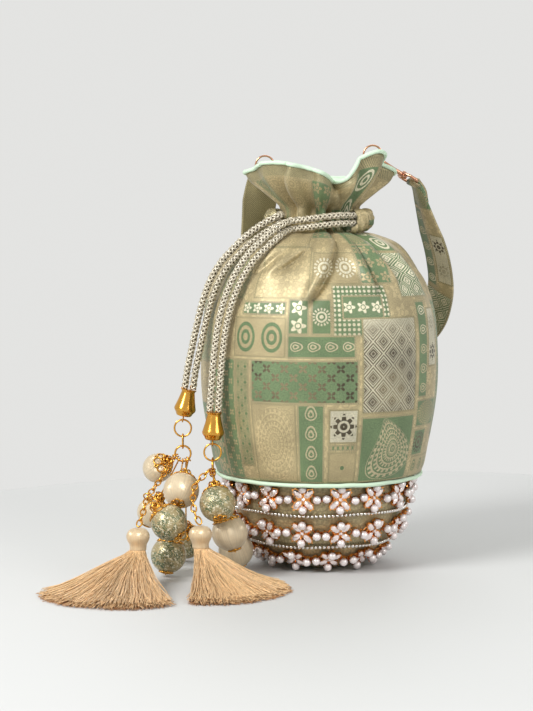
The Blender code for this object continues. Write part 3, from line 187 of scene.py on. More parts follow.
# Woven panels of the cloth, in millimetres on the flat cloth: left, right, foot and top edge,
# kind of motif, motifs across and up, ground and figure colour. The cloth repeats them at the back.
PANELS = (
    (-97, 97, -10, 190, "flower", 17, 17, "gold", "faint"),
    (-97, -72, 0, 40, "drop", 2, 2, "sage", "gold"),
    (-97, -68, 62, 96, "lattice", 3, 3, "sage", "gold"),
    (-72, -61, 0, 60, "flower", 1, 5, "sage", "gold"),
    (-61, -48, 0, 66, "sprig", 2, 8, "sage", "gold"),
    (-48, -39, 8, 66, "weave", 2, 7, "gold", "sage"),
    (-38, -13.5, 0, 43, "medallion", 1, 1, "gold", "faint"),
    (-38, 18.3, 43, 66, "sprig", 6, 2.5, "sage", "dark"),
    (-49, -18.7, 67, 88, "oval", 2, 1, "gold", "sage"),
    (-45, -19.2, 89, 96.5, "flower", 4, 1, "sage", "pale"),
    (-68, -46, 97, 122, "lattice", 3, 3, "sage", "gold"),
    (-13, 1, 0, 43, "drop", 1, 4, "sage", "pale"),
    (3, 18.6, 22, 40.5, "rosette", 1, 1, "cream", "dark"),
    (3, 18.6, 18, 21.5, "dots", 6, 1, "sage", "gold"),
    (3, 18.6, 0, 17.5, "bud", 1, 1, "gold", "sage"),
    (-18.2, 16.8, 66.8, 79, "heart", 4, 1, "sage", "pale"),
    (-18.2, -7, 79, 98, "flower", 1, 2, "sage", "pale"),
    (-6, 4.6, 79, 98, "sunflower", 1, 1, "sage", "pale"),
    (4.8, 37, 78, 106, "dots", 13, 11, "sage", "pale"),
    (10, 33, 87, 100, "flower", 3, 1, "sage", "pale"),
    (-6, 22, 106, 126, "sunflower", 2, 1, "gold", "dark"),
    (-39, -7, 98, 130, "flower", 4, 4, "gold", "faint"),
    (22, 44, 106, 132, "flower", 3, 3, "sage", "gold"),
    (19.9, 55, 37.5, 88, "lattice", 3, 4, "cream", "dark"),
    (19.9, 55, 0, 36, "paisley", 1, 1, "sage", "pale"),
    (57, 66, 44, 96, "heart", 1, 5, "sage", "pale"),
    (57, 80, 28, 43, "medallion", 1, 1, "sage", "gold"),
    (57, 70, 12, 27, "sunflower", 1, 1, "sage", "dark"),
    (58, 84, 0, 12, "drop", 3, 1, "gold", "sage"),
    (67, 78, 60, 92, "rosette", 1, 2, "cream", "dark"),
    (48, 78, 98, 126, "lattice", 3, 3, "sage", "pale"),
    (80, 97, 20, 96, "sprig", 2, 8, "sage", "gold"),
    (-60, -10, 130, 190, "sunflower", 4, 5, "gold", "faint"),
    (22, 40, 132, 168, "paisley", 1, 2, "sage", "gold"),
    (40, 62, 126, 190, "oval", 2, 4, "sage", "pale"),
    (-10, 12, 140, 190, "flower", 2, 4, "sage", "gold"),
    (-90, -60, 150, 190, "lattice", 3, 4, "sage", "gold"),
)


def linear(code):
    """Linear colour of an sRGB hex value."""
    parts = [int(code[i:i + 2], 16) / 255 for i in (1, 3, 5)]
    return [c / 12.92 if c <= 0.04045 else ((c + 0.055) / 1.055) ** 2.4 for c in parts]


def colour_property(name, description, code):
    """Colour that a maker can set, with an sRGB hex value at first."""
    return bpy.props.FloatVectorProperty(
        name=name, description=description, subtype="COLOR", size=3, min=0.0, max=1.0, default=linear(code))


class PotliSizes(bpy.types.PropertyGroup):
    """Sizes that a maker would change."""
    pearl: bpy.props.FloatProperty(
        name="Pearl", description="Diameter of a pearl on the lace", default=0.0045, unit="LENGTH")
    ball: bpy.props.FloatProperty(
        name="Chain Ball", description="Diameter of a chain's ball", default=0.0021, unit="LENGTH")
    cord: bpy.props.FloatProperty(
        name="Cord", description="Diameter of the braided drawstring", default=0.0038, unit="LENGTH")
    piping: bpy.props.FloatProperty(
        name="Piping", description="Diameter of the satin piping", default=0.0022, unit="LENGTH")
    cloth: bpy.props.FloatProperty(
        name="Cloth", description="Thickness of the brocade", default=0.0007, unit="LENGTH")
    thread: bpy.props.FloatProperty(
        name="Tassel Thread", description="Diameter of a tassel thread", default=0.00032, unit="LENGTH")
    threads: bpy.props.IntProperty(
        name="Threads", description="Threads in one tassel skirt", default=2100, min=50)
    strap: bpy.props.FloatProperty(
        name="Strap", description="Width of the strap", default=0.0200, unit="LENGTH")


class PotliColours(bpy.types.PropertyGroup):
    """Colours that a maker would change."""
    sage: colour_property("Sage", "Green silk ground of the brocade", "#6b8059")
    gold: colour_property("Gold", "Metal thread ground of the brocade", "#b3a47d")
    pale: colour_property("Pale Gold", "Bright metal thread of the brocade", "#e0d9bd")
    dark: colour_property("Shaded Gold", "Metal thread that lies away from the light", "#4f4635")
    mint: colour_property("Mint", "Satin of the pipings and lining", "#7cb074")
    polished: colour_property("Polished Gold", "Caps, rings, chains and filigree", "#d8a047")
    rose: colour_property("Rose Gold", "Rim rings and snap hooks", "#c9967a")
    braid: colour_property("Braid", "Silver and gold thread of the drawstring", "#ece3cd")
    tassel: colour_property("Champagne", "Silk of the tassels", "#d9b688")
    cream: colour_property("Cream", "Silk wound round the plain beads", "#e2cfae")


def add(tree, kind, *feeds, **settings):
    """Add one node with its settings; a colon in its kind comes before its operation.
    Each feed is a value or a link for the next input."""
    kind, _, operation = kind.partition(":")
    node = tree.nodes.new("ShaderNode" + kind)
    if operation:
        node.operation = operation
    for name, value in settings.items():
        setattr(node, name, value)
    for socket, feed in zip(node.inputs, feeds):
        if isinstance(feed, bpy.types.NodeSocket):
            tree.links.new(feed, socket)
        elif feed is not None:
            socket.default_value = (*feed, 1.0) if socket.type == "RGBA" else feed
    return node.outputs[0]


def surface(name, values, links):
    """A material whose Principled shader takes plain values, and links from a function of its tree
    and of the place on the object."""
    material = bpy.data.materials.get(name)
    if material:
        return material
    material = bpy.data.materials.new(name)
    material.use_nodes = True
    tree = material.node_tree
    shader = tree.nodes["Principled BSDF"]
    for socket, value in values.items():
        shader.inputs[socket].default_value = (*value, 1.0) if isinstance(value, (list, tuple)) else value
    spot = tree.nodes.new("ShaderNodeTexCoord").outputs["Object"]
    for socket, link in links(tree, spot).items():
        tree.links.new(link, shader.inputs[socket])
    return material


def fleck(tree, spot, base, share, scale, detail=2.0):
    """A colour whose lightness wanders by a share either way, at a noise scale per metre."""
    cloud = add(tree, "TexNoise", spot, None, scale, detail)
    dim = add(tree, "MapRange", cloud, 0.3, 0.7, 1.0 - share, 1.0 + share)
    return add(tree, "MixRGB", 1.0, base, dim, blend_type="MULTIPLY")


KINDS = ("sprig", "lattice", "weave", "dots", "drop", "heart", "bud", "flower", "rosette", "sunflower",
         "oval", "medallion", "paisley")
TONES = ("sage", "gold", "pale", "dark", "faint", "cream")


def woven_group(colours):
    """Node group of the jacquard cloth: takes a place in millimetres, gives colour, relief and metal."""
    group = bpy.data.node_groups.get("woven_panels")
    if group:
        return group
    group = bpy.data.node_groups.new("woven_panels", "ShaderNodeTree")
    for name, way, kind in (("Place", "INPUT", "Vector"), ("Colour", "OUTPUT", "Color"),
                            ("Relief", "OUTPUT", "Float"), ("Metal", "OUTPUT", "Float")):
        group.interface.new_socket(name, in_out=way, socket_type="NodeSocket" + kind)
    place = group.nodes.new("NodeGroupInput").outputs[0]

    flat = add(group, "SeparateXYZ", place).node
    across = add(group, "Math:ADD", flat.outputs[0], 0.5 * REPEAT)
    across = add(group, "Math:SUBTRACT", add(group, "Math:FLOORED_MODULO", across, REPEAT), 0.5 * REPEAT)
    up = flat.outputs[1]
    picked = None
    for left, right, foot, top, kind, columns, rows, ground, figure in PANELS:
        wide, high = right - left, top - foot
        own = ((left, foot, KINDS.index(kind)), (wide / columns, high / rows, TONES.index(ground)),
               (wide, high, TONES.index(figure)))
        if picked is None:
            picked = own
            continue
        beside = add(group, "Math:COMPARE", across, 0.5 * (left + right), 0.5 * wide)
        level = add(group, "Math:COMPARE", up, 0.5 * (foot + top), 0.5 * high)
        inside = add(group, "Math:MULTIPLY", beside, level)
        picked = [add(group, "Mix", inside, None, None, None, usual, mine, data_type="VECTOR").node.outputs[1]
                  for usual, mine in zip(picked, own)]
    origin, cell, size = [add(group, "SeparateXYZ", vector).node for vector in picked]
    kind, ground, figure = origin.outputs[2], cell.outputs[2], size.outputs[2]
    wide, high = cell.outputs[0], cell.outputs[1]
    x = add(group, "Math:SUBTRACT", across, origin.outputs[0])
    y = add(group, "Math:SUBTRACT", up, origin.outputs[1])
    edge_x = add(group, "Math:MINIMUM", x, add(group, "Math:SUBTRACT", size.outputs[0], x))
    edge_y = add(group, "Math:MINIMUM", y, add(group, "Math:SUBTRACT", size.outputs[1], y))
    edge = add(group, "Math:MINIMUM", edge_x, edge_y)
    field = add(group, "Math:GREATER_THAN", edge, 0.9)
    px = add(group, "Math:SUBTRACT", add(group, "Math:FRACT", add(group, "Math:DIVIDE", x, wide)), 0.5)
    py = add(group, "Math:SUBTRACT", add(group, "Math:FRACT", add(group, "Math:DIVIDE", y, high)), 0.5)
    mask = motif_mask(group, kind, px, py, wide, high)
    mask = add(group, "Math:MULTIPLY", mask, field)

    # Painted light on the metal thread: its colour turns from bright to dark where the cloth lies away from
    # the light, with painted highlight high on the cloth and painted shade low on it, away from the front
    # middle and mottled by noise
    spot = add(group, "CombineXYZ", across, up, 0.0)
    cloud = add(group, "TexNoise", spot, None, 0.03, 1.0)
    low = add(group, "MapRange", up, 70.0, 94.0, 1.0, 0.0)
    aside = add(group, "Math:PINGPONG", add(group, "Math:ADD", across, 12.0), 0.5 * REPEAT)
    painted_shade_share = add(group, "Math:MULTIPLY", add(group, "MapRange", aside, 0.0, 22.0),
              add(group, "MapRange", cloud, 0.30, 0.44))
    painted_shade_share = add(group, "Math:MULTIPLY", low, painted_shade_share)
    middle = [0.55 * a + 0.45 * b for a, b in zip(colours.gold, colours.dark)]
    metal = add(group, "MixRGB", low, colours.pale, middle)
    # Dark figures: painted shade over the metal thread
    flash = add(group, "MixRGB", painted_shade_share, metal, colours.dark)
    # Pale figures: painted highlight, pale high on the cloth and mostly gold low on it
    bright = add(group, "MixRGB", add(group, "Math:MULTIPLY", low, 0.75), colours.pale, colours.gold)

    faint = [1.28 * c for c in colours.gold]
    cream = [0.80 * c for c in colours.pale]

    def tone(index):
        colour = colours.sage
        for number, paint in enumerate((colours.gold, bright, flash, faint, cream), 1):
            colour = add(group, "MixRGB", add(group, "Math:COMPARE", index, number, 0.5), colour, paint)
        return colour

    # Narrow ladder border round each panel
    rung = add(group, "Math:LESS_THAN",
               add(group, "Math:FRACT",
                   add(group, "Math:MULTIPLY", add(group, "Math:ADD", across, up), 0.8)), 0.42)
    shaded = [0.5 * (a + b) for a, b in zip(colours.gold, colours.sage)]
    ladder = add(group, "MixRGB", rung, colours.gold, [0.7 * c for c in shaded])
    border = add(group, "MixRGB", field, ladder, tone(ground))
    colour = add(group, "MixRGB", mask, border, tone(figure))
    # Thread pitch is 0.5 mm; the real one is nearer 0.2 mm, too fine to show
    weft = add(group, "Math:PINGPONG", add(group, "Math:MULTIPLY", up, 4.0), 1.0)
    warp = add(group, "Math:PINGPONG", add(group, "Math:MULTIPLY", across, 4.0), 1.0)
    grain = add(group, "Math:MULTIPLY", weft, warp)
    slub = add(group, "MapRange", add(group, "TexNoise", spot, None, 1.5, 3.0), 0.28, 0.72, 0.68, 1.30)
    wear = add(group, "MapRange", add(group, "TexNoise", spot, None, 0.06, 2.0), 0.35, 0.65, 0.88, 1.12)
    # The colour follows the weave: painted shade in the hollows between threads; slub and wear noise vary the
    # tone at random
    shade = add(group, "Math:MULTIPLY", add(group, "Math:MULTIPLY", slub, wear),
                add(group, "MapRange", grain, 0.0, 1.0, 0.88, 1.08))
    colour = add(group, "MixRGB", 1.0, colour, shade, blend_type="MULTIPLY")
    relief = add(group, "Math:ADD", add(group, "Math:MULTIPLY", grain, 0.4), mask)
    metal = add(group, "Math:MULTIPLY",
                add(group, "Math:GREATER_THAN", add(group, "Math:MAXIMUM", ground, mask), 0.5), 0.35)
    out = group.nodes.new("NodeGroupOutput")
    for socket, link in zip(out.inputs, (colour, relief, metal)):
        group.links.new(link, socket)
    return group


def reach_of(tree, x, y):
    """Distance of a place from the origin of its two coordinates."""
    squares = add(tree, "Math:ADD", add(tree, "Math:MULTIPLY", x, x), add(tree, "Math:MULTIPLY", y, y))
    return add(tree, "Math:SQRT", squares)


def motif_mask(group, kind, px, py, wide, high):
    """Mask of the woven motif of a kind, in a cell whose share coordinates run from -0.5 to 0.5."""
    ax, ay = add(group, "Math:ABSOLUTE", px), add(group, "Math:ABSOLUTE", py)
    slant = add(group, "Math:ADD", ax, ay)
    # Four leaves at the middle and at the corners of the cell
    far = add(group, "Math:MULTIPLY", add(group, "Math:GREATER_THAN", slant, 0.5), 0.5)
    qx = add(group, "Math:MULTIPLY", add(group, "Math:ABSOLUTE", add(group, "Math:SUBTRACT", ax, far)),
             wide)
    qy = add(group, "Math:MULTIPLY", add(group, "Math:ABSOLUTE", add(group, "Math:SUBTRACT", ay, far)),
             high)
    reach = reach_of(group, qx, qy)
    lobe = add(group, "Math:SINE", add(group, "Math:MULTIPLY", add(group, "Math:ARCTAN2", qy, qx), 2.0))
    least = add(group, "Math:MINIMUM", wide, high)
    leaf = add(group, "Math:LESS_THAN", reach,
               add(group, "Math:MULTIPLY", lobe, add(group, "Math:MULTIPLY", least, 0.29)))
    mask = add(group, "Math:MULTIPLY", leaf, add(group, "Math:GREATER_THAN", reach, 0.45))

    def pick(mask, names, other):
        """Mask that changes to another one for the named kinds."""
        for name in names:
            chosen = add(group, "Math:COMPARE", kind, KINDS.index(name), 0.5)
            kept = add(group, "Math:MULTIPLY", mask, add(group, "Math:SUBTRACT", 1.0, chosen))
            mask = add(group, "Math:ADD", kept, add(group, "Math:MULTIPLY", other, chosen))
        return mask

    # Diamonds: double lines with a ribbed feather in each
    lines = add(group, "Math:SUBTRACT", add(group, "Math:COMPARE", slant, 0.5, 0.115),
                add(group, "Math:COMPARE", slant, 0.5, 0.045))
    ribs = add(group, "Math:ADD", add(group, "Math:MULTIPLY", qx, 0.62),
               add(group, "Math:MULTIPLY", qy, 0.62))
    ribs = add(group, "Math:LESS_THAN", add(group, "Math:FRACT", ribs), 0.72)
    feather = add(group, "Math:LESS_THAN", add(group, "Math:PINGPONG", slant, 0.5), 0.31)
    mask = pick(mask, ("lattice", "weave"),
                add(group, "Math:MAXIMUM", lines, add(group, "Math:MULTIPLY", feather, ribs)))

    # Round motifs, in shares of the smaller side of the cell
    half = add(group, "Math:MULTIPLY", least, 0.46)
    mx, my = add(group, "Math:MULTIPLY", px, wide), add(group, "Math:MULTIPLY", py, high)
    reach = add(group, "Math:DIVIDE", reach_of(group, mx, my), half)
    turn = add(group, "Math:ARCTAN2", my, mx)
    mask = pick(mask, ("dots",), add(group, "Math:LESS_THAN", reach, 0.72))
    gap = add(group, "Math:COMPARE", reach, 0.34, 0.07)
    for name, petals in (("flower", 5.0), ("rosette", 8.0)):
        comb = add(group, "Math:COSINE", add(group, "Math:MULTIPLY", turn, petals))
        lobe = add(group, "Math:ADD", add(group, "Math:MULTIPLY", comb, 0.24), 0.74)
        bloom = add(group, "Math:SUBTRACT", add(group, "Math:LESS_THAN", reach, lobe), gap,
                    use_clamp=True)
        if name == "rosette":
            split = add(group, "Math:COMPARE", add(group, "Math:PINGPONG", reach, 0.20), 0.0, 0.045)
            bloom = add(group, "Math:SUBTRACT", bloom, split, use_clamp=True)
        mask = pick(mask, (name,), bloom)
    teeth = add(group, "Math:GREATER_THAN",
                add(group, "Math:COSINE", add(group, "Math:MULTIPLY", turn, 16.0)), 0.0)
    rays = add(group, "Math:MULTIPLY", add(group, "Math:COMPARE", reach, 0.84, 0.14), teeth)
    eye = add(group, "Math:MAXIMUM", add(group, "Math:COMPARE", reach, 0.50, 0.10),
              add(group, "Math:LESS_THAN", reach, 0.22))
    mask = pick(mask, ("sunflower",), add(group, "Math:MAXIMUM", rays, eye))
    for name, lean, rings in (("drop", 1.57, 0.52), ("heart", 0.0, 0.52)):
        point = add(group, "Math:MAXIMUM",
                    add(group, "Math:COSINE", add(group, "Math:SUBTRACT", turn, lean)), 0.0)
        point = add(group, "Math:POWER", point, 5.0)
        pear = add(group, "Math:DIVIDE", reach,
                   add(group, "Math:ADD", add(group, "Math:MULTIPLY", point, 0.36), 0.64))
        ringed = add(group, "Math:GREATER_THAN",
                     add(group, "Math:FRACT", add(group, "Math:DIVIDE", pear, rings)), 0.5)
        mask = pick(mask, (name,),
                    add(group, "Math:MULTIPLY", ringed, add(group, "Math:LESS_THAN", pear, 0.99)))
    mask = pick(mask, ("bud",), add(group, "Math:LESS_THAN", reach, 0.16))

    # Tall motifs fill their cell: rings with ribs between them
    fill = add(group, "Math:DIVIDE", reach_of(group, px, py), 0.47)
    within = add(group, "Math:LESS_THAN", fill, 0.99)
    ringed = add(group, "Math:GREATER_THAN",
                 add(group, "Math:FRACT", add(group, "Math:DIVIDE", fill, 0.40)), 0.5)
    mask = pick(mask, ("oval",), add(group, "Math:MULTIPLY", ringed, within))
    # The paisley narrows upwards and its tip leans to one side
    bend = add(group, "Math:SUBTRACT",
               add(group, "Math:ADD", px,
                   add(group, "Math:MULTIPLY", add(group, "Math:MULTIPLY", py, py), 0.9)), 0.10)
    leant = add(group, "Math:DIVIDE", bend, add(group, "Math:SUBTRACT", 0.80, py))
    curled = add(group, "Math:COMPARE", kind, KINDS.index("paisley"), 0.5)
    px = add(group, "Math:ADD", add(group, "Math:MULTIPLY", px, add(group, "Math:SUBTRACT", 1.0, curled)),
             add(group, "Math:MULTIPLY", leant, curled))
    fill = add(group, "Math:DIVIDE", reach_of(group, px, py), 0.47)
    within = add(group, "Math:LESS_THAN", fill, 0.99)
    steps = add(group, "Math:FRACT", add(group, "Math:DIVIDE", fill, 0.17))
    ribs = add(group, "Math:GREATER_THAN",
               add(group, "Math:COSINE",
                   add(group, "Math:MULTIPLY", add(group, "Math:ARCTAN2", py, px), 26.0)), 0.0)
    line = add(group, "Math:GREATER_THAN", steps, 0.72)
    body = add(group, "Math:MULTIPLY",
               add(group, "Math:MAXIMUM", line,
                   add(group, "Math:MULTIPLY", ribs, add(group, "Math:LESS_THAN", steps, 0.5))), within)
    return pick(mask, ("medallion", "paisley"), body)


def brocade(colours, name="woven_brocade", slide=(0.0, 0.0), dim=1.0):
    """Jacquard-woven brocade: silk ground with raised metal-thread motifs in patchwork panels.
    The metal thread's colour carries painted light: painted highlight makes it pale and painted shade makes
    it dark, after how the cloth lies."""
    def links(tree, _):
        place = add(tree, "UVMap")
        woven = tree.nodes.new("ShaderNodeGroup")
        woven.node_tree = woven_group(colours)
        tree.links.new(add(tree, "VectorMath:ADD", place, (*slide, 0.0)), woven.inputs[0])
        # A dim below 1 multiplies the colour down: painted shade
        colour = add(tree, "MixRGB", 1.0, woven.outputs[0], (dim, dim, dim), blend_type="MULTIPLY")
        return {"Base Color": colour, "Metallic": woven.outputs[2],
                "Normal": add(tree, "Bump", 0.5, 0.00012, None, woven.outputs[1])}

    return surface(name, {"Roughness": 0.47, "Sheen Weight": 0.10, "Sheen Roughness": 0.4}, links)


def satin(colours):
    """Woven polyester satin, cut on the bias: a soft stripe of light and fine cross threads."""
    def links(tree, spot):
        thread = add(tree, "TexNoise", spot, None, 900.0, 2.0)
        return {"Base Color": fleck(tree, spot, colours.mint, 0.10, 180.0),
                "Normal": add(tree, "Bump", 0.5, 0.0003, None, thread)}
    return surface("mint_satin", {"Roughness": 0.42, "Sheen Weight": 0.25, "Sheen Roughness": 0.35},
                   links)


def plated(name, colour, roughness):
    """Electroplated and polished brass: mirror-like, with faint handling marks in its gloss."""
    def links(tree, spot):
        marks = add(tree, "TexNoise", spot, None, 420.0, 4.0)
        return {"Base Color": fleck(tree, spot, colour, 0.08, 260.0),
                "Roughness": add(tree, "MapRange", marks, 0.3, 0.7, roughness - 0.05,
                                 roughness + 0.08), "Normal": add(tree, "Bump", 0.04, 0.0001, None,
                                                                  marks)}
    return surface(name, {"Metallic": 1.0}, links)


def braid_thread(colours):
    """Lurex thread plied with silk: a speckle from half tone to pale gold, partly the thread's own tone and
    partly painted glints of its facets; the darkness between the strands is painted shade from the braid's
    dark core.
    """
    def links(tree, spot):
        sparkle = add(tree, "TexNoise", spot, None, 2600.0, 2.0)
        # Speckle of thread tone and painted glints
        painted_facet_glint = add(tree, "MapRange", sparkle, 0.35, 0.65, 0.0, 1.0)
        dark = [c * 0.5 for c in colours.braid]
        return {"Base Color": add(tree, "MixRGB", painted_facet_glint, dark, colours.braid),
                "Normal": add(tree, "Bump", 0.8, 0.0003, None, sparkle)}
    return surface("lurex_braid", {"Roughness": 0.32, "Metallic": 0.55}, links)


def silk_thread(name, colour, share=0.22):
    """Loose untwisted silk floss: a soft gleam and threads that vary in tone."""
    def links(tree, spot):
        strand = add(tree, "TexNoise", spot, None, 1500.0, 2.0)
        return {"Base Color": fleck(tree, spot, colour, share, 900.0, 3.0),
                "Normal": add(tree, "Bump", 0.3, 0.0002, None, strand)}
    return surface(name, {"Roughness": 0.30, "Sheen Weight": 0.25, "Sheen Roughness": 0.3}, links)


def wound_silk(name, colour, turns):
    """Silk floss wound round a form from pole to pole: fine threads follow its own U coordinate."""
    def links(tree, _):
        place = add(tree, "UVMap")
        wander = add(tree, "TexNoise", place, None, 6.0, 2.0)
        u = add(tree, "Math:ADD", add(tree, "SeparateXYZ", place),
                add(tree, "Math:MULTIPLY", wander, 0.02))
        thread = add(tree, "Math:PINGPONG", add(tree, "Math:MULTIPLY", u, 2.0 * turns), 1.0)
        along = add(tree, "CombineXYZ", add(tree, "Math:MULTIPLY", u, 60.0), 0.0, 0.0)
        band = add(tree, "TexNoise", along, None, 1.0, 3.0)
        tone = add(tree, "MapRange", band, 0.3, 0.7, 0.86, 1.10)
        # Darker in the hollows between the wound threads: painted shade
        tone = add(tree, "Math:MULTIPLY", tone, add(tree, "MapRange", thread, 0.0, 1.0, 0.88, 1.05))
        base = add(tree, "MixRGB", 1.0, colour, tone, blend_type="MULTIPLY")
        return {"Base Color": base, "Normal": add(tree, "Bump", 0.6, 0.0002, None, thread)}
    return surface(name,
                   {"Roughness": 0.30, "Metallic": 0.25, "Sheen Weight": 0.2,
                    "Sheen Roughness": 0.3}, links)


def bead_brocade(colours):
    """Offcut of brocade stretched over a bead: metal threads run slantwise over green silk, with painted
    glints of pale thread.
    """
    def links(tree, spot):
        slant = add(tree, "TexWave", spot, 420.0, 9.0, 3.0, 1.2, wave_type="BANDS",
                    bands_direction="DIAGONAL")
        slant = add(tree, "MapRange", slant, 0.62, 0.78, 0.0, 1.0)
        patch = add(tree, "TexNoise", spot, None, 150.0, 3.0, 0.6)
        gold = add(tree, "MapRange", patch, 0.46, 0.52, 0.0, 1.0)
        # Pale spots at random: painted glints
        painted_glint = add(tree, "TexNoise", spot, None, 900.0, 2.0)
        painted_glint = add(tree, "MapRange", painted_glint, 0.56, 0.62, 0.0, 1.0)
        metal = add(tree, "Math:MAXIMUM", slant, gold)
        ground = fleck(tree, spot, [0.62 * c for c in colours.sage], 0.25, 500.0)
        colour = add(tree, "MixRGB", metal, ground, colours.gold)
        colour = add(tree, "MixRGB", painted_glint, colour, colours.pale)
        height = add(tree, "Math:ADD", metal, painted_glint)
        return {"Base Color": colour, "Normal": add(tree, "Bump", 0.6, 0.0002, None, height),
                "Metallic": add(tree, "Math:MULTIPLY", metal, 0.6)}
    return surface("bead_brocade", {"Roughness": 0.32}, links)


def pearl_lacquer():
    """Imitation pearl: milky lacquer over glass, with a pink bloom and a hard clear gloss."""
    def links(tree, spot):
        return {"Base Color": fleck(tree, spot, linear("#efe5e3"), 0.04, 400.0)}
    return surface("pearl_lacquer", {
        "Roughness": 0.24, "Metallic": 0.45, "Coat Weight": 1.0, "Coat Roughness": 0.02,
        "Sheen Weight": 0.2, "Sheen Tint": linear("#ffd9d0")}, links)


def cut_glass():
    """Pressed and foiled glass: pale pink, hard facets that flash."""
    def links(tree, spot):
        return {"Base Color": fleck(tree, spot, linear("#f9ebe8"), 0.08, 500.0)}
    return surface("cut_glass", {
        "Roughness": 0.05, "IOR": 1.54, "Coat Weight": 1.0, "Coat Roughness": 0.01, "Metallic": 0.7}, links)


def smooth(points, spacing):
    """Evenly spaced points of a smooth curve through a route's points."""
    knots = [Vector(point) for point in points]
    knots = [2 * knots[0] - knots[1]] + knots + [2 * knots[-1] - knots[-2]]
    fine = []
    for i in range(1, len(knots) - 2):
        a, b, c, d = knots[i - 1:i + 3]
        for k in range(16):
            t = k / 16
            fine.append(0.5 * (2 * b + (c - a) * t + (2 * a - 5 * b + 4 * c - d) * t ** 2
                               + (3 * b - a - 3 * c + d) * t ** 3))
    fine.append(knots[-2])
    lengths = [0.0]
    for near, far in zip(fine, fine[1:]):
        lengths.append(lengths[-1] + (far - near).length)
    count = max(2, round(lengths[-1] / spacing))
    read, at = [], 0
    for k in range(count + 1):
        want = lengths[-1] * k / count
        while at < len(fine) - 2 and lengths[at + 1] < want:
            at += 1
        share = (want - lengths[at]) / max(1e-12, lengths[at + 1] - lengths[at])
        read.append(fine[at].lerp(fine[at + 1], min(1.0, share)))
    return read


def length_of(points):
    """Length of a line of points."""
    return sum((b - a).length for a, b in zip(points, points[1:]))


def read_line(line, share):
    """Point of a line at a share of its steps, and its direction there."""
    at = share * (len(line) - 1)
    low = min(int(at), len(line) - 2)
    return line[low].lerp(line[low + 1], at - low), (line[low + 1] - line[low]).normalized()


def run_at(points, i):
    """Direction of a line at one of its points."""
    return (points[min(len(points) - 1, i + 1)] - points[max(0, i - 1)]).normalized()


def turns(count):
    """Angles of a full turn in equal steps."""
    return [math.tau * k / count for k in range(count)]


def around(angle, radius, height=0.0):
    """Point at an angle, radius and height about +Z."""
    return Vector((radius * math.cos(angle), radius * math.sin(angle), height))


def facing(normal):
    """Turn that points an axis of +Z along a direction."""
    return Z.rotation_difference(Vector(normal)).to_matrix().to_4x4()


def frame_along(origin, along, side):
    """Matrix at origin with +Z along the first direction and +X nearest to the second."""
    z_axis = Vector(along).normalized()
    x_axis = (Vector(side) - z_axis * z_axis.dot(Vector(side))).normalized()
    turn = Matrix((x_axis, z_axis.cross(x_axis), z_axis)).transposed().to_4x4()
    return Matrix.Translation(origin) @ turn


def mesh_of(name, bm):
    """Mesh from a bmesh, which it frees."""
    mesh = bpy.data.meshes.new(name)
    bm.to_mesh(mesh)
    bm.free()
    return mesh


def absorb(bm, mesh, index=None):
    """Add a mesh to a bmesh and remove it; an index gives its faces another material."""
    known = len(bm.faces)
    bm.from_mesh(mesh)
    bpy.data.meshes.remove(mesh)
    bm.faces.ensure_lookup_table()
    if index is not None:
        for face in bm.faces[known:]:
            face.material_index = index


def painted(verts, index):
    """Give the faces of some vertices a material."""
    for face in {face for vert in verts for face in vert.link_faces}:
        face.material_index = index


def shown(name, data):
    """A new object in the scene."""
    thing = bpy.data.objects.new(name, data)
    bpy.context.scene.collection.objects.link(thing)
    return thing


def finished(name, bm, materials, body, node, angle=None):
    """Turn a bmesh into a piece that rides on a body and stands for its node."""
    mesh = mesh_of(name, bm)
    mesh.shade_smooth()
    if angle:
        mesh.set_sharp_from_angle(angle=math.radians(angle))
    for material in materials:
        mesh.materials.append(material)
    piece = shown(name, mesh)
    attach(piece, body)
    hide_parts(node)
    return piece


def skin(bm, columns, rows, shape, scale=(1.0, 1.0), merge=True):
    """A grid moved on to a surface: shape gives the point for a share across and a share up."""
    layer = bm.loops.layers.uv.verify()
    old = set(bm.verts)
    bmesh.ops.create_grid(bm, x_segments=columns, y_segments=rows, size=0.5)
    fresh = [vert for vert in bm.verts if vert not in old]
    for face in {face for vert in fresh for face in vert.link_faces}:
        for loop in face.loops:
            co = loop.vert.co
            loop[layer].uv = ((co.x + 0.5) * scale[0], (co.y + 0.5) * scale[1])
    for vert in fresh:
        vert.co = shape(vert.co.x + 0.5, vert.co.y + 0.5)
    if merge:
        bmesh.ops.remove_doubles(bm, verts=fresh, dist=1e-6)
    return fresh


def turned(outline, steps, matrix=Matrix.Identity(4), scale=(1.0, 1.0), step_length=0.0004):
    """A closed turned form about +Z through a rounded outline of radius and height."""
    line = smooth([(r, 0.0, z) for r, z in outline], step_length)

    def shape(u, v):
        spot, _ = read_line(line, v)
        radius = max(0.0, spot.x) if 1e-6 < v < 1 - 1e-6 else 0.0
        return matrix @ around(math.tau * u, radius, spot.z)

    bm = bmesh.new()
    skin(bm, steps, len(line) - 1, shape, scale)
    bmesh.ops.recalc_face_normals(bm, faces=bm.faces)
    return bm


def wire_mesh(lines, radius, closed=False, sides=1):
    """Round wires along lines of points, as one mesh; a point's fourth value scales its radius."""
    curve = bpy.data.curves.new("wire", "CURVE")
    curve.dimensions = "3D"
    curve.bevel_depth = radius
    curve.bevel_resolution = sides
    curve.use_fill_caps = True
    for line in lines:
        spline = curve.splines.new("POLY")
        spline.points.add(len(line) - 1)
        for spot, point in zip(spline.points, line):
            spot.co = (*point[:3], 1.0)
            spot.radius = point[3] if len(point) == 4 else 1.0
        spline.use_cyclic_u = closed
        spline.use_smooth = True
    holder = bpy.data.objects.new("wire", curve)
    mesh = bpy.data.meshes.new_from_object(holder)
    bpy.data.objects.remove(holder)
    bpy.data.curves.remove(curve)
    return mesh


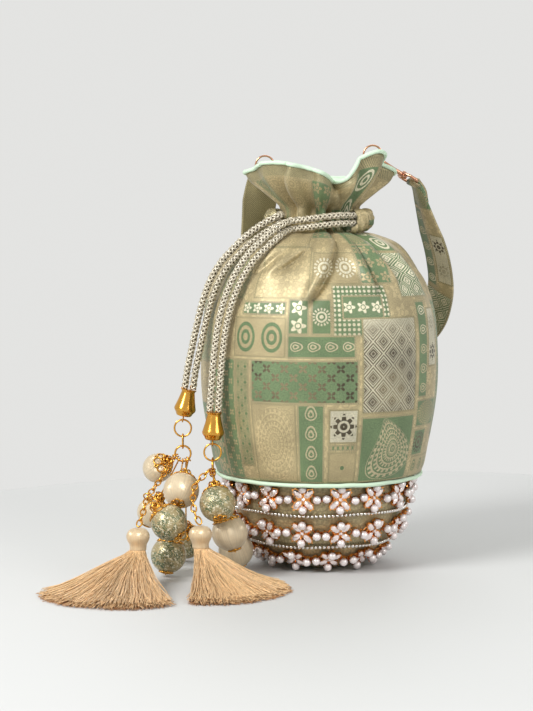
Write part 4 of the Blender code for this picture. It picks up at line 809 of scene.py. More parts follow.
def wire_piece(name, lines, radius, material, body, node, closed=True, sides=3):
    """A piece made of round wires."""
    bm = bmesh.new()
    absorb(bm, wire_mesh(lines, radius, closed, sides))
    finished(name, bm, [material], body, node)


def ring_points(centre, across, up, radius=1.0, steps=40):
    """Points of a circle, or of an oval whose two directions differ in length."""
    return [centre + radius * (across * math.cos(turn) + up * math.sin(turn)) for turn in turns(steps)]


def scatter(name, placed, node, materials, angle=None):
    """One piece on the bag from many placed copies of small meshes."""
    bm = bmesh.new()
    for template, matrix in placed:
        copy = template.copy()
        copy.transform(matrix)
        absorb(bm, copy)
    finished(name, bm, materials, "bag", node, angle)


def angle_gap(angle, centre):
    """Signed angle from a centre, at most half a turn."""
    return (angle - centre + math.pi) % math.tau - math.pi


def fold_weight(height):
    """How strongly the gathers show at a height."""
    if height <= NECK_LOW:
        return max(0.0, (height - FOLD_START) / (NECK_LOW - FOLD_START)) ** 2
    return 1.0 - 0.45 * min(1.0, max(0.0, (height - NECK_HIGH) / (RIM_HEIGHT - NECK_HIGH)))


def gathered(radius, angle, height):
    """Place of a point of the bag after the gathers, lobes and creases are pressed in."""
    frill = min(1.0, max(0.0, (height - NECK_HIGH) / (RIM_HEIGHT - NECK_HIGH)))
    radius += FOLD_DEPTH * fold_weight(height) * math.cos(FOLDS * angle)
    # The frill bellies out at the front, and its rim falls back
    front = max(0.0, -math.sin(angle))
    radius += front * (0.0034 * math.sin(math.pi * min(1.0, 1.15 * frill)) - 0.0030 * frill ** 2)
    rise = 0.0
    for middle, width, lift, tuck in LOBES:
        share = math.exp(-(angle_gap(angle, middle) / width) ** 2)
        rise += lift * share
        radius -= tuck * share * frill
    # Each crease has a steep side, a soft side and a low ridge beside it
    for top, foot, low, depth, width in CREASES:
        if low < height < NECK_HIGH:
            share = min(1.0, (height - low) / (CREASE_TOP - low))
            middle = math.radians(foot + (top - foot) * share)
            gap = angle_gap(angle, middle) / math.radians(width * (0.55 + 0.9 * share))
            ramp = math.sin(0.5 * math.pi * min(1.0, 2.2 * share)) * (1.0 - 0.45 * share)
            lean = 1.4 if gap > 0 else 0.35
            radius -= depth * ramp * (math.exp(-abs(gap) / lean) - 0.45 * math.exp(-(gap + 1.4) ** 2))
    if height > FRILL_FOOT:
        for rim, foot, depth, width in FRILL_CREASES:
            middle = math.radians(foot + (rim - foot) * frill)
            gap = angle_gap(angle, middle) / math.radians(width * (1.6 - 0.6 * frill))
            lean = 0.5 if gap > 0 else 1.4
            ramp = min(1.0, (height - FRILL_FOOT) / (NECK_HIGH - FRILL_FOOT)) * (0.5 + 0.5 * frill)
            radius -= depth * ramp * (math.exp(-abs(gap) / lean) - 0.35 * math.exp(-(gap - 1.6) ** 2))
    ripple = noise.noise(around(angle, 2.2, height * 26.0))
    radius += 0.0007 * ripple * min(1.0, max(0.0, (height - 0.056) / 0.01))
    return around(angle, radius, height + rise * frill)


def bag_line():
    """The bag's smooth outline, and its length in millimetres."""
    line = smooth([(r, 0.0, z) for r, z in OUTLINE], 0.0016)
    return line, length_of(line) / MM


def shell_shape(line, inset=0.0, start=0.0):
    """Surface of the gathered bag, or of one that lies inside it by an inset."""
    def shape(u, v):
        spot, run = read_line(line, start + (1.0 - start) * v)
        return gathered(spot.x - inset * run.z, FRONT - math.pi + math.tau * u, spot.z + inset * run.x)
    return shape


def make_bag_cloth(sizes, colours):
    """Brocade shell, from the seam to the rim; its UV runs in millimetres on the flat cloth."""
    line, length = bag_line()
    bm = bmesh.new()
    skin(bm, 432, 124, shell_shape(line), (2 * REPEAT, length))
    # The front lies at the middle of the flat cloth
    layer = bm.loops.layers.uv.verify()
    for face in bm.faces:
        for loop in face.loops:
            loop[layer].uv.x -= REPEAT
    piece = finished("bag_cloth", bm, [brocade(colours)], "bag", "bag_body")
    wall = piece.modifiers.new("Cloth thickness", "SOLIDIFY")
    wall.thickness = sizes.cloth
    wall.offset = -1.0


def make_lining(colours):
    """Mint satin lining, inside the frill and the shoulder."""
    bm = bmesh.new()
    skin(bm, 288, 90, shell_shape(bag_line()[0], 0.0013, 0.30))
    bmesh.ops.reverse_faces(bm, faces=bm.faces)
    finished("satin_lining", bm, [satin(colours)], "bag", "bag_lining")


def make_pipings(sizes, colours):
    """Satin piping along the rim and under the seam."""
    rim, seam = [], []
    for angle in turns(240):
        spot = gathered(OUTLINE[-1][0] + PIPING_OUT, angle, RIM_HEIGHT) + PIPING_UP * Z
        rim.append((*spot, 1.0 + 0.08 * math.sin(31 * angle) * math.cos(7 * angle)))
        wave = noise.noise(around(angle, 3.0, 0.5))
        height = SEAM_HEIGHT - SEAM_DROP + 0.0005 * noise.noise(around(angle, 5.0, 2.0))
        seam.append((*around(angle, SEAM_PIPING + 0.0004 * wave, height), 1.0 + 0.10 * wave))
    for place, line in (("rim", rim), ("seam", seam)):
        wire_piece(f"{place}_satin_piping", [line], 0.5 * sizes.piping, satin(colours), "bag",
                   f"{place}_piping")


def on_bowl(reach, height, angle, rise=0.0):
    """Point at a reach from the bowl's centre, level with a row's height and moved up along the bowl."""
    tilt = math.asin((height - BOWL_CENTRE) / BOWL_RADIUS) + rise / BOWL_RADIUS
    return around(angle, reach * math.cos(tilt), BOWL_CENTRE + reach * math.sin(tilt))


def make_base(colours):
    """Cloth that covers the bowl, and the strip of cloth under the seam."""
    floor = math.asin(-BOWL_CENTRE / BOWL_RADIUS)
    top = math.asin((SEAM_HEIGHT - CLEAR - BOWL_CENTRE) / BOWL_RADIUS)
    outline = [(0.0, 0.0), (0.006, 0.0), (0.012, 0.0)]
    for k in range(13):
        tilt = floor + (top - floor) * k / 12
        outline.append((BOWL_RADIUS * math.cos(tilt), BOWL_CENTRE + BOWL_RADIUS * math.sin(tilt)))
    outline += [(0.0475, SEAM_HEIGHT - CLEAR), (0.044, SEAM_HEIGHT - 0.001), (0.0, SEAM_HEIGHT - 0.012)]
    bm = turned(outline, 120, scale=(REPEAT, 90.0), step_length=0.0015)
    # Dimmed to 0.80: painted shade on the bowl's cloth, low on the bag and under the lace
    cloth = brocade(colours, "base_brocade_painted_shade", slide=(8.0, 100.0), dim=0.80)
    finished("base_cloth", bm, [cloth], "bag", "base_bowl")


def lace_flower(sizes, side):
    """One flower of the lace in its own plane: +Z outward, +Y up the bowl."""
    pearl = 0.5 * sizes.pearl
    bm = bmesh.new()
    for x, y in ((0.0, FLOWER_HALF), (0.0, -FLOWER_HALF), (-side, 0.0), (side, 0.0)):
        bmesh.ops.create_uvsphere(bm, u_segments=12, v_segments=8, radius=pearl,
                                  matrix=Matrix.Translation((x, y, 0.0010 + pearl)))
        # Gilded cup with eight claws round the foot of the pearl
        ring = bmesh.ops.create_circle(bm, cap_ends=False, segments=16, radius=0.86 * pearl,
                                       matrix=Matrix.Translation((x, y, 0.0004)))["verts"]
        edges = list({edge for vert in ring for edge in vert.link_edges})
        raised = bmesh.ops.extrude_edge_only(bm, edges=edges)["geom"]
        claws = [part for part in raised if isinstance(part, bmesh.types.BMVert)]
        for vert in claws:
            angle = math.atan2(vert.co.y - y, vert.co.x - x)
            spread, height = (1.16, 0.0030) if math.cos(8 * angle) > 0 else (0.98, 0.0014)
            vert.co = Vector((x, y, 0.0)) + around(angle, spread * pearl, height)
        painted(claws, 2)
    for turn in range(4):
        # Pointed crystals between the pearls, each in a gilded rim
        out = Matrix.Rotation(math.radians(45 + 90 * turn), 4, "Z") @ Matrix.Translation((0.0042, 0.0, 0.0))
        place = out @ Matrix.Translation((0, 0, 0.0017)) @ Matrix.Diagonal((0.0031, 0.0018, 0.0015, 1.0))
        stone = bmesh.ops.create_uvsphere(bm, u_segments=8, v_segments=5, radius=1.0, matrix=place)["verts"]
        painted(stone, 1)
        seat = out @ Matrix.Translation((0, 0, 0.0009)) @ Matrix.Diagonal((0.0032, 0.0019, 0.0011, 1.0))
        rim = bmesh.ops.create_cone(bm, cap_ends=True, segments=14, radius1=1.0, radius2=1.0, depth=1.0,
                                    matrix=seat)["verts"]
        for index, vert in enumerate(rim):
            if index % 4 > 1 and vert.co.z > 0.0009:
                flat = vert.co - seat.translation
                vert.co += Vector((0.26 * flat.x, 0.26 * flat.y, 0.0011))
        painted(rim, 2)
    middle = bmesh.ops.create_icosphere(bm, subdivisions=1, radius=0.0012,
                                        matrix=Matrix.Translation((0, 0, 0.0019)))["verts"]
    painted(middle, 1)
    plate = bmesh.ops.create_cone(bm, cap_ends=True, segments=16, radius1=0.0042, radius2=0.0036,
                                  depth=0.0007, matrix=Matrix.Translation((0, 0, 0.0004)))["verts"]
    painted(plate, 2)
    return mesh_of("lace_flower", bm)


def make_lace(sizes):
    """Three rows of pearl and crystal flowers in gilded settings."""
    random.seed(11)
    gilt = plated("gilded_setting", linear("#e8a05a"), 0.24)
    for number, (height, flowers) in enumerate(BANDS, 1):
        level = on_bowl(BOWL_RADIUS + 0.0036, height, 0.0).x
        flower = lace_flower(sizes, level * (0.5 * math.tau / flowers) - 0.5 * sizes.pearl - 0.5 * CLEAR)
        placed = []
        for k in range(flowers):
            angle = math.tau * (k + 0.5 * number) / flowers
            foot = on_bowl(BOWL_RADIUS + CLEAR, height, angle)
            matrix = frame_along(foot, foot - BOWL_CENTRE * Z, around(angle + 0.5 * math.pi, 1.0))
            sway = Matrix.Rotation(random.uniform(-0.12, 0.12), 4, "Z")
            lift = Matrix.Rotation(random.uniform(-0.06, 0.06), 4, "X")
            placed.append((flower, matrix @ sway @ lift))
        # Gilt wire in small teeth that rises round each flower, and its mirror below
        zigzag = []
        for k in range(flowers * 12):
            angle = math.tau * (k / 12 + 0.5 * number) / flowers
            tooth = 0.0011 if k % 2 else -0.0007
            swell = math.cos(0.5 * angle_gap(flowers * angle, number * math.pi)) ** 2
            zigzag.append((angle, tooth + 0.0036 * swell))
        for way in (1, -1):
            points = [on_bowl(BOWL_RADIUS + 0.0013, height, angle, way * rise) for angle, rise in zigzag]
            wire = wire_mesh([points], 0.00045, closed=True, sides=0)
            wire.polygons.foreach_set("material_index", [2] * len(wire.polygons))
            placed.append((wire, Matrix.Identity(4)))
        scatter(f"pearl_lace_{number}", placed, f"pearl_band_{number}",
                [pearl_lacquer(), cut_glass(), gilt], angle=34)
        bpy.data.meshes.remove(flower)


def make_ball_chains(sizes):
    """Two rows of small silver balls between the lace rows."""
    silver = plated("silver_ball", linear("#dcdad4"), 0.18)
    bm = bmesh.new()
    bmesh.ops.create_uvsphere(bm, u_segments=8, v_segments=6, radius=0.5 * sizes.ball)
    ball = mesh_of("ball", bm)
    reach = BOWL_RADIUS + CLEAR + 0.5 * sizes.ball
    for number, height in enumerate(CHAIN_ROWS, 1):
        count = int(math.tau * on_bowl(reach, height, 0.0).x / (sizes.ball + 0.5 * CLEAR))
        placed = []
        for angle in turns(count):
            sag = 0.0004 * math.sin(5 * angle + number)
            placed.append((ball, Matrix.Translation(on_bowl(reach, height, angle, sag))))
        scatter(f"silver_ball_chain_{number}", placed, f"ball_chain_{number}", [silver])
    bpy.data.meshes.remove(ball)


def make_casing(sizes, colours):
    """Stitched casing round the neck, puffed over the drawstring and open at the front."""
    def shape(u, v):
        # The skin runs out along the casing, turns in at its mouth and comes back inside
        wall = sizes.cloth if v > 0.5 else 0.0
        share = 2 - 2 * v if v > 0.5 else 2 * v
        turn = math.tau * u
        near = min(share, 1.0 - share) / 0.05
        angle = CASING_RIGHT + (CASING_LEFT - CASING_RIGHT) * share
        angle += 0.10 * math.exp(-near * 2.0) * math.sin(2 * turn + 0.9)
        ruche = 0.0011 * (1.0 - 2.0 * abs(math.sin(23 * angle + 0.8 * math.sin(turn))))
        ruche += 0.0005 * math.sin(29 * angle)
        ruche += 0.0006 * noise.noise(Vector((14 * angle, 2 * math.cos(turn), 2 * math.sin(turn))))
        puff = 1.0 + 0.40 * near * math.exp(1.0 - near) - 0.16 * math.exp(-(near * 2.2) ** 2)
        half_wide = (0.0029 + ruche) * puff - wall
        half_high = 0.0054 + 0.5 * ruche - wall
        mouth = math.exp(-(near / 2.0) ** 2) if share < 0.5 else 0.0
        height = CASING_HEIGHT - 0.0013 * mouth + (half_high + 0.0009 * mouth) * math.sin(turn)
        return around(angle, CASING_RADIUS + 0.0004 + half_wide * math.cos(turn), height)

    bm = bmesh.new()
    skin(bm, 32, 420, shape, (30.0, 260.0))
    bmesh.ops.recalc_face_normals(bm, faces=bm.faces)
    cloth = brocade(colours, "casing_brocade", slide=(-30.0, 130.0))
    finished("neck_casing", bm, [cloth], "bag", "drawstring_casing")


def braided(name, points, sizes, colours, node):
    """Six strands braided round a core, along a path."""
    radius = 0.5 * sizes.cord
    fine = smooth(points, 0.00045)
    up = (fine[1] - fine[0]).orthogonal().normalized()
    walked, sections = 0.0, []
    for i, point in enumerate(fine):
        run = run_at(fine, i)
        up = (up - run * up.dot(run)).normalized()
        walked += (point - fine[max(0, i - 1)]).length
        sections.append((point, up, run.cross(up), math.tau * walked / BRAID_PITCH))
    lines = []
    for strand in range(6):
        way, start = (1.0, math.pi) if strand % 2 else (-1.0, 0.0)
        phase = math.tau * (strand // 2) / 3
        line = []
        for point, a, b, turn in sections:
            reach = radius - 0.00056 + 0.00022 * math.cos(1.5 * turn + start)
            angle = way * turn + phase
            line.append(point + reach * (a * math.cos(angle) + b * math.sin(angle)))
        lines.append(line)
    bm = bmesh.new()
    absorb(bm, wire_mesh(lines, 0.00052), 0)
    # The dark core shows in the gaps between the strands: painted shade
    absorb(bm, wire_mesh([fine], radius - 0.0008), 1)
    threads = [braid_thread(colours), silk_thread("braid_core_painted_shade", linear("#5a4c33"))]
    return finished(name, bm, threads, "bag", node)


def drawstring_points(side):
    """Middle line of one strand in the casing, from the front round to the left."""
    points = []
    for k in range(21):
        angle = FRONT_END + (CASING_LEFT - FRONT_END) * k / 20
        front = max(0.0, 1.0 - (angle - FRONT_END) / (CASING_RIGHT - FRONT_END))
        height = CASING_HEIGHT + side * 0.5 * CORD_PITCH - 0.0018 * front ** 2
        points.append(around(angle, CASING_RADIUS, height))
    return points


def strand_points(place, route, side):
    """Middle line of one loose strand, from the drawstring's end to the top of its cap."""
    held = drawstring_points(side)
    if place == "right":
        held = held[::-1]
    leave = (held[-1] - held[-2]).normalized()
    start = held[-1] + leave * CLEAR
    top, foot = CAPS[place]
    knots = [Vector(point) for point in route] + [top + (top - foot).normalized() * CLEAR]
    beside = []
    for i, knot in enumerate(knots):
        along = run_at(knots, i)
        across = Z - along * along.z if i < 2 else along.cross(-Y)
        beside.append(knot + across.normalized() * side * 0.5 * CORD_PITCH)
    return [start, start + leave * 0.0053, *beside]


def make_cords(sizes, colours):
    """Drawstring round the neck and its four loose strands, each ending in a turned cap."""
    for number, side in ((1, 1.0), (2, -1.0)):
        path = smooth(drawstring_points(side)[::-1], 0.003)
        piece = braided(f"neck_drawstring_{number}", path, sizes, colours, f"drawstring_{number}")
    for place, route in (("left", LEFT_CORD), ("right", RIGHT_CORD)):
        for number, side in ((1, 1.0), (2, -1.0)):
            path = smooth(strand_points(place, route, side), 0.004)
            name = f"loose_strand_{place}_{number}"
            piece = braided(name, path, sizes, colours, f"cord_{place}_{number}")


def make_end_caps(colours):
    """Turned bell caps that close the cord ends, each with an eye."""
    gold = plated("polished_gold", colours.polished, 0.14)
    for place, (top, foot) in CAPS.items():
        length = (top - foot).length
        outline = [
            (0.0, 0.0), (0.0032, 0.0), (0.0041, 0.0006), (0.0046, 0.0016), (0.00560, 0.0030),
            (0.00582, 0.0038), (0.00578, 0.0044), (0.0052, 0.0064), (0.0045, 0.0090), (0.0039, 0.0116),
            (0.00360, 0.0130), (0.00368, 0.0136), (0.00410, 0.0141), (0.00422, 0.0145),
            (0.00412, length - 0.0001), (0.0, length),
        ]
        matrix = frame_along(foot, top - foot, Y)
        bm = turned(outline, 56, matrix, step_length=0.0003)
        eye = [matrix @ spot for spot in ring_points(-0.0015 * Z, X, Z, 0.0017, 24)]
        absorb(bm, wire_mesh([eye], 0.00036, closed=True, sides=2))
        finished(f"turned_cap_{place}", bm, [gold], "bag", f"end_cap_{place}", angle=50)


def ring_centre(node):
    """Middle of a node's box."""
    low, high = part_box(node)
    return 0.5 * (low + high)


def make_rings(colours):
    """Gold rings and link under the caps."""
    gold = plated("gold_wire", colours.polished, 0.18)
    for place, (across, up) in HUB_AXES.items():
        ring = ring_points(ring_centre(f"cap_ring_{place}"), X, Z, 0.0045)
        wire_piece(f"gold_ring_{place}", [ring], 0.0005, gold, "bag", f"cap_ring_{place}")
        hub = ring_points(ring_centre(f"hub_ring_{place}"), across, up, HUB_RADIUS)
        wire_piece(f"gold_hub_{place}", [hub], 0.00055, gold, "bag", f"hub_ring_{place}")
    link = ring_points(ring_centre("oval_link"), 0.00215 * Y, 0.0038 * Z, steps=32)
    wire_piece("gold_oval_link", [link], 0.00045, gold, "bag", "oval_link")


def hub_point(place, degrees):
    """Point on a hub ring's wire, and the wire's direction there."""
    across, up = HUB_AXES[place]
    angle = math.radians(degrees)
    point = ring_centre(f"hub_ring_{place}") + HUB_RADIUS * (across * math.cos(angle) + up * math.sin(angle))
    return point, up * math.cos(angle) - across * math.sin(angle)


def bead_hang(side, degrees, centre):
    """Centre of a bead, the point and wire direction that its eye holds, and the eye's radius."""
    if side == "chain":
        route = [Vector(point) for point in CHAIN_ROUTES["left"]]
        return Vector(centre), route[1], (route[2] - route[0]).normalized(), 0.0025
    return Vector(centre), *hub_point(side, degrees), EYE_RADIUS


def filigree(radius, top):
    """Wires and loops of a bead's openwork cone and foot flower about +Z, from the bead's centre."""
    shell = radius + 0.00035

    def on_bead(polar, turn):
        return around(turn, shell * math.sin(polar), shell * math.cos(polar))

    lines, loops = [], []
    for turn in turns(6):
        out, side = around(turn, 1.0), around(turn + 0.5 * math.pi, 1.0)
        loops.append([on_bead(0.55 + 0.25 * math.cos(a),
                              turn + 0.36 * math.sin(a) / (0.7 + 0.3 * math.cos(a))) for a in turns(16)])
        loops.append([on_bead(0.72 + 0.09 * math.cos(a), turn + math.pi / 6 + 0.13 * math.sin(a))
                      for a in turns(12)])
        start, neck = on_bead(0.30, turn), 0.0013 * out + (shell + 0.0030) * Z
        lines.append(smooth([start, start.lerp(neck, 0.5) - 0.0004 * out, neck], 0.0006))
        loops.append(ring_points(0.0027 * out + (shell + 0.0015) * Z, side, Z, 0.0014, 10))
        loops.append([on_bead(math.pi - 0.22 - 0.17 * math.cos(a), turn + 0.50 * math.sin(a))
                      for a in turns(12)])
    for height, reach in ((0.0002, 0.0026), (0.0031, 0.0012), (0.0036, 0.0009)):
        loops.append([around(a, reach, shell + height) for a in turns(16)])
    lines.append([-(shell + 0.0008) * Z, -radius * Z])
    lines.append([radius * Z, top * Z])
    return lines, loops


def make_beads(colours):
    """Nine large beads: silk-wound or covered in brocade, each in its own gilded filigree."""
    cream = wound_silk("cream_wound_silk", colours.cream, 110)
    gold = plated("gilded_filigree", colours.polished, 0.22)
    for number, (side, degrees, size, place) in enumerate(BEADS, 1):
        centre, point, along, eye_radius = bead_hang(side, degrees, place)
        matrix = frame_along(centre, point - centre, along)
        radius = 0.5 * size
        outline = [(radius * math.sin(math.pi * k / 24), -radius * math.cos(math.pi * k / 24))
                   for k in range(25)]
        bm = turned(outline, 48, matrix, step_length=0.0009)
        covered = number in BROCADE_BEADS
        finished(f"wound_bead_{number}", bm, [bead_brocade(colours) if covered else cream],
                 f"bead_{number}_body", f"bead_{number}")
        lines, loops = filigree(radius, (point - centre).length - eye_radius)
        lines = [[matrix @ spot for spot in line] for line in lines]
        loops = [[matrix @ spot for spot in loop] for loop in loops]
        leave = centre - point
        leave = (leave - along * along.dot(leave)).normalized()
        loops.append(ring_points(point, leave, along.cross(leave), eye_radius, 18))
        bm = bmesh.new()
        absorb(bm, wire_mesh(lines, 0.00042))
        absorb(bm, wire_mesh(loops, 0.00040, closed=True))
        finished(f"bead_filigree_{number}", bm, [gold], "bag", f"bead_pin_{number}")


def make_tassel_chains(colours):
    """Cable chains from the hub rings to the tassel heads."""
    gold = plated("gold_chain", colours.polished, 0.2)
    for place, route in CHAIN_ROUTES.items():
        start, along = hub_point(place, CHAIN_EYES[place])
        away = Vector(route[0]) - start
        away = (away - along * along.dot(away)).normalized()
        crown = HEADS[place] + (HEAD_HALF + CLEAR) * Z
        top = crown + (Vector(route[-1]) - crown).normalized() * 2 * EYE_RADIUS
        points = smooth([start + away * (EYE_RADIUS + LINK_LONG), *route, top], LINK_PITCH)
        loops = []
        for i, point in enumerate(points):
            run = run_at(points, i)
            side = X if i % 2 else run.cross(X)
            side = (side - run * run.dot(side)).normalized()
            loops.append(ring_points(point, run * LINK_LONG, side * LINK_WIDE, steps=16))
        loops.append(ring_points(start, away, along.cross(away), EYE_RADIUS, 18))
        wire_piece(f"cable_chain_{place}", loops, 0.00042, gold, "bag", f"tassel_chain_{place}",
                   sides=1)


def make_tassels(sizes, colours):
    """Silk tassels: a satin-wound head and a skirt of loose threads that fans out on the table."""
    wound = wound_silk("champagne_wound_silk", linear("#e3c9a2"), 70)
    # Deep floss: the tassel colour darkened, painted shade for the lowest threads of the skirt
    shaded = [c * d for c, d in zip(colours.tassel, (0.78, 0.60, 0.48))]
    silks = [silk_thread("champagne_floss_light", [min(1.0, 1.25 * c) for c in colours.tassel], 0.15),
             silk_thread("champagne_floss", colours.tassel, 0.2),
             silk_thread("champagne_floss_painted_shade", shaded, 0.2)]
    outline = [(0.0, -HEAD_HALF), (0.0040, -HEAD_HALF), (0.0043, -0.0042), (0.0046, -0.0026),
               (0.0054, -0.0010), (0.0060, 0.0008), (0.0058, 0.0028), (0.0046, 0.0046),
               (0.0026, 0.0056), (0.0, HEAD_HALF)]
    for place, head in HEADS.items():
        bm = turned(outline, 56, Matrix.Translation(head), step_length=0.0006)
        finished(f"wound_head_{place}", bm, [wound], "bag", f"tassel_head_{place}")
        random.seed(7 if place == "left" else 8)
        middle, spread, reach = FANS[place]
        base = head.z - HEAD_HALF - 0.0002
        lines = ([], [], [])
        for _ in range(sizes.threads):
            share = random.uniform(-1.0, 1.0)
            angle = middle + spread * math.copysign(abs(share) ** 0.9, share)
            if random.random() < 0.04:
                angle += random.uniform(-0.12, 0.12)
            layer = random.random()
            long = reach * random.uniform(0.86, 1.04) * (1.0 - 0.10 * abs(share) ** 3) * (1.0 - 0.08 * layer)
            swirl = random.uniform(-0.05, 0.05)
            start_turn = angle + random.uniform(-1.2, 1.2)
            start = around(start_turn, 0.0038 * math.sqrt(random.random()))
            line = [(head.x + start.x, head.y + start.y, base + 0.0006)]
            for j in range(1, 9):
                t = j / 8
                turn = angle + swirl * t + 0.03 * math.sin(9 * t + 20 * layer) * t
                swell = math.sin(0.5 * math.pi * min(1.0, 2.0 * t)) * (1.0 - 0.45 * t ** 3)
                level = (base - 0.0004) * (1.0 - t) ** (1.5 + 0.9 * (1 - layer))
                level += 0.0060 * layer * swell + CLEAR
                spot = start * (1.0 - t) + around(turn, long * (0.08 + 0.92 * t) * t ** 0.35)
                line.append((head.x + spot.x, head.y + spot.y, min(base, level)))
            # The lowest threads take the deep floss as painted shade under the others; the rest are light or
            # mid at random
            lines[2 if layer < 0.22 else 0 if random.random() < 0.40 else 1].append(line)
        bm = bmesh.new()
        for index, strands in enumerate(lines):
            absorb(bm, wire_mesh(strands, 0.5 * sizes.thread, sides=0), index)
        finished(f"silk_skirt_{place}", bm, silks, "bag", f"tassel_skirt_{place}")


def hook_matrices(place):
    """Frames of a hook and of its loop: +Z runs from the ring towards the strap."""
    angle = HOOK_ANGLES[place]
    point = RIM_RINGS[place] + RING_RADIUS * Vector((math.cos(angle), 0.0, math.sin(angle)))
    wire = Vector((-math.sin(angle), 0.0, math.cos(angle)))
    run = HOOK_RUNS[place].normalized()
    return frame_along(point, run, wire.cross(run)), frame_along(point, run, HOOK_BARS[place].cross(run))


def claw_line():
    """Middle line of a hook's claw from its tip to its stem: across, along and share of the wire's radius."""
    bend, centre = 0.0033, 0.00155
    knots = [(-bend * math.cos(math.radians(d)), centre - bend * math.sin(math.radians(d)), 1.0)
             for d in (190, 168, 140, 110, 80, 50, 20, -12, -40)]
    knots[0] = (*knots[0][:2], 0.8)
    knots += [(-0.0018, 0.0080, 1.0), (0.0, 0.0102, 1.15), (0.0, 0.0128, 1.35), (0.0, 0.0144, 1.35)]
    line = []
    for spot in smooth([(x, z, 0.0) for x, z, _ in knots], 0.0006):
        near = min(knots, key=lambda knot: (knot[0] - spot.x) ** 2 + (knot[1] - spot.y) ** 2)
        line.append((spot.x, spot.y, near[2]))
    return line


def make_hooks(colours):
    """Rim rings and cast snap hooks with their gates and swivel loops."""
    rose = plated("rose_gold_plate", colours.rose, 0.2)
    stem = [(0.0, 0.0144), (0.0013, 0.0144), (0.0013, 0.0148), (0.00065, 0.0150), (0.00065, 0.0172),
            (0.0014, 0.0174), (0.0015, 0.0179), (0.0011, 0.0184), (0.0, 0.0185)]
    collar = [(0.0, COLLAR_START), (0.0021, COLLAR_START), (0.0023, 0.0158), (0.0023, 0.0164),
              (0.0021, COLLAR_END), (0.0, COLLAR_END)]
    wide = 0.5 * (LOOP_WIDTH - 2 * LOOP_WIRE)
    half_loop = [(LOOP_GAP, LOOP_START), (wide - LOOP_CORNER, LOOP_START), (wide, LOOP_START + LOOP_CORNER),
                 (wide, LOOP_END - LOOP_CORNER), (wide - LOOP_CORNER, LOOP_END)]
    loop_line = half_loop + [(-y, h) for y, h in half_loop[::-1]]
    foot, tip = Vector((0.002135, 0.0, 0.0104)), Vector((0.0029, 0.0, 0.0052))
    for place, ring in RIM_RINGS.items():
        wire_piece(f"rose_ring_{place}", [ring_points(ring, X, Z, RING_RADIUS)], 0.00055, rose,
                   f"ring_{place}", f"rim_ring_{place}")
        hook, loop = hook_matrices(place)
        bm = turned(stem, 24, hook, step_length=0.0002)
        claw = [(*(hook @ Vector((x, 0.0, z))), share) for x, z, share in claw_line()]
        absorb(bm, wire_mesh([claw], CLAW_WIRE, sides=3))
        finished(f"snap_claw_{place}", bm, [rose], f"claw_{place}", f"hook_claw_{place}")
        gate = [hook @ foot, hook @ foot.lerp(tip, 0.5), hook @ tip]
        wire_piece(f"snap_gate_{place}", [gate], 0.00065, rose, f"gate_{place}",
                   f"hook_gate_{place}", closed=False)
        bm = turned(collar, 24, loop, step_length=0.0002)
        absorb(bm, wire_mesh([[loop @ Vector((0.0, y, h)) for y, h in loop_line]], LOOP_WIRE, sides=3))
        finished(f"swivel_loop_{place}", bm, [rose], "bag", f"hook_loop_{place}", angle=40)
        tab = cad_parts[f"ring_tab_{place}"]
        tab.data.materials.clear()
        tab.data.materials.append(satin(colours))


def bar_wrap(loop):
    """Middle line of the strap's folded end round a loop's far bar, and the bar's direction."""
    bar = loop @ (LOOP_END * Z)
    across, run = loop.to_3x3() @ Y, loop.to_3x3() @ Z
    bend = LOOP_WIRE + CLEAR + STRAP_SEAT
    lift = run.cross(across).normalized()
    if lift.z > 0:
        lift = -lift
    path = []
    for degrees in (-90, -135, 180, 135, 90):
        angle = math.radians(degrees)
        path.append(bar + (run * math.cos(angle) + lift * math.sin(angle)) * bend)
    path.append(bar + lift * bend + run * 2 * bend)
    return path, across, lift * 2 * bend


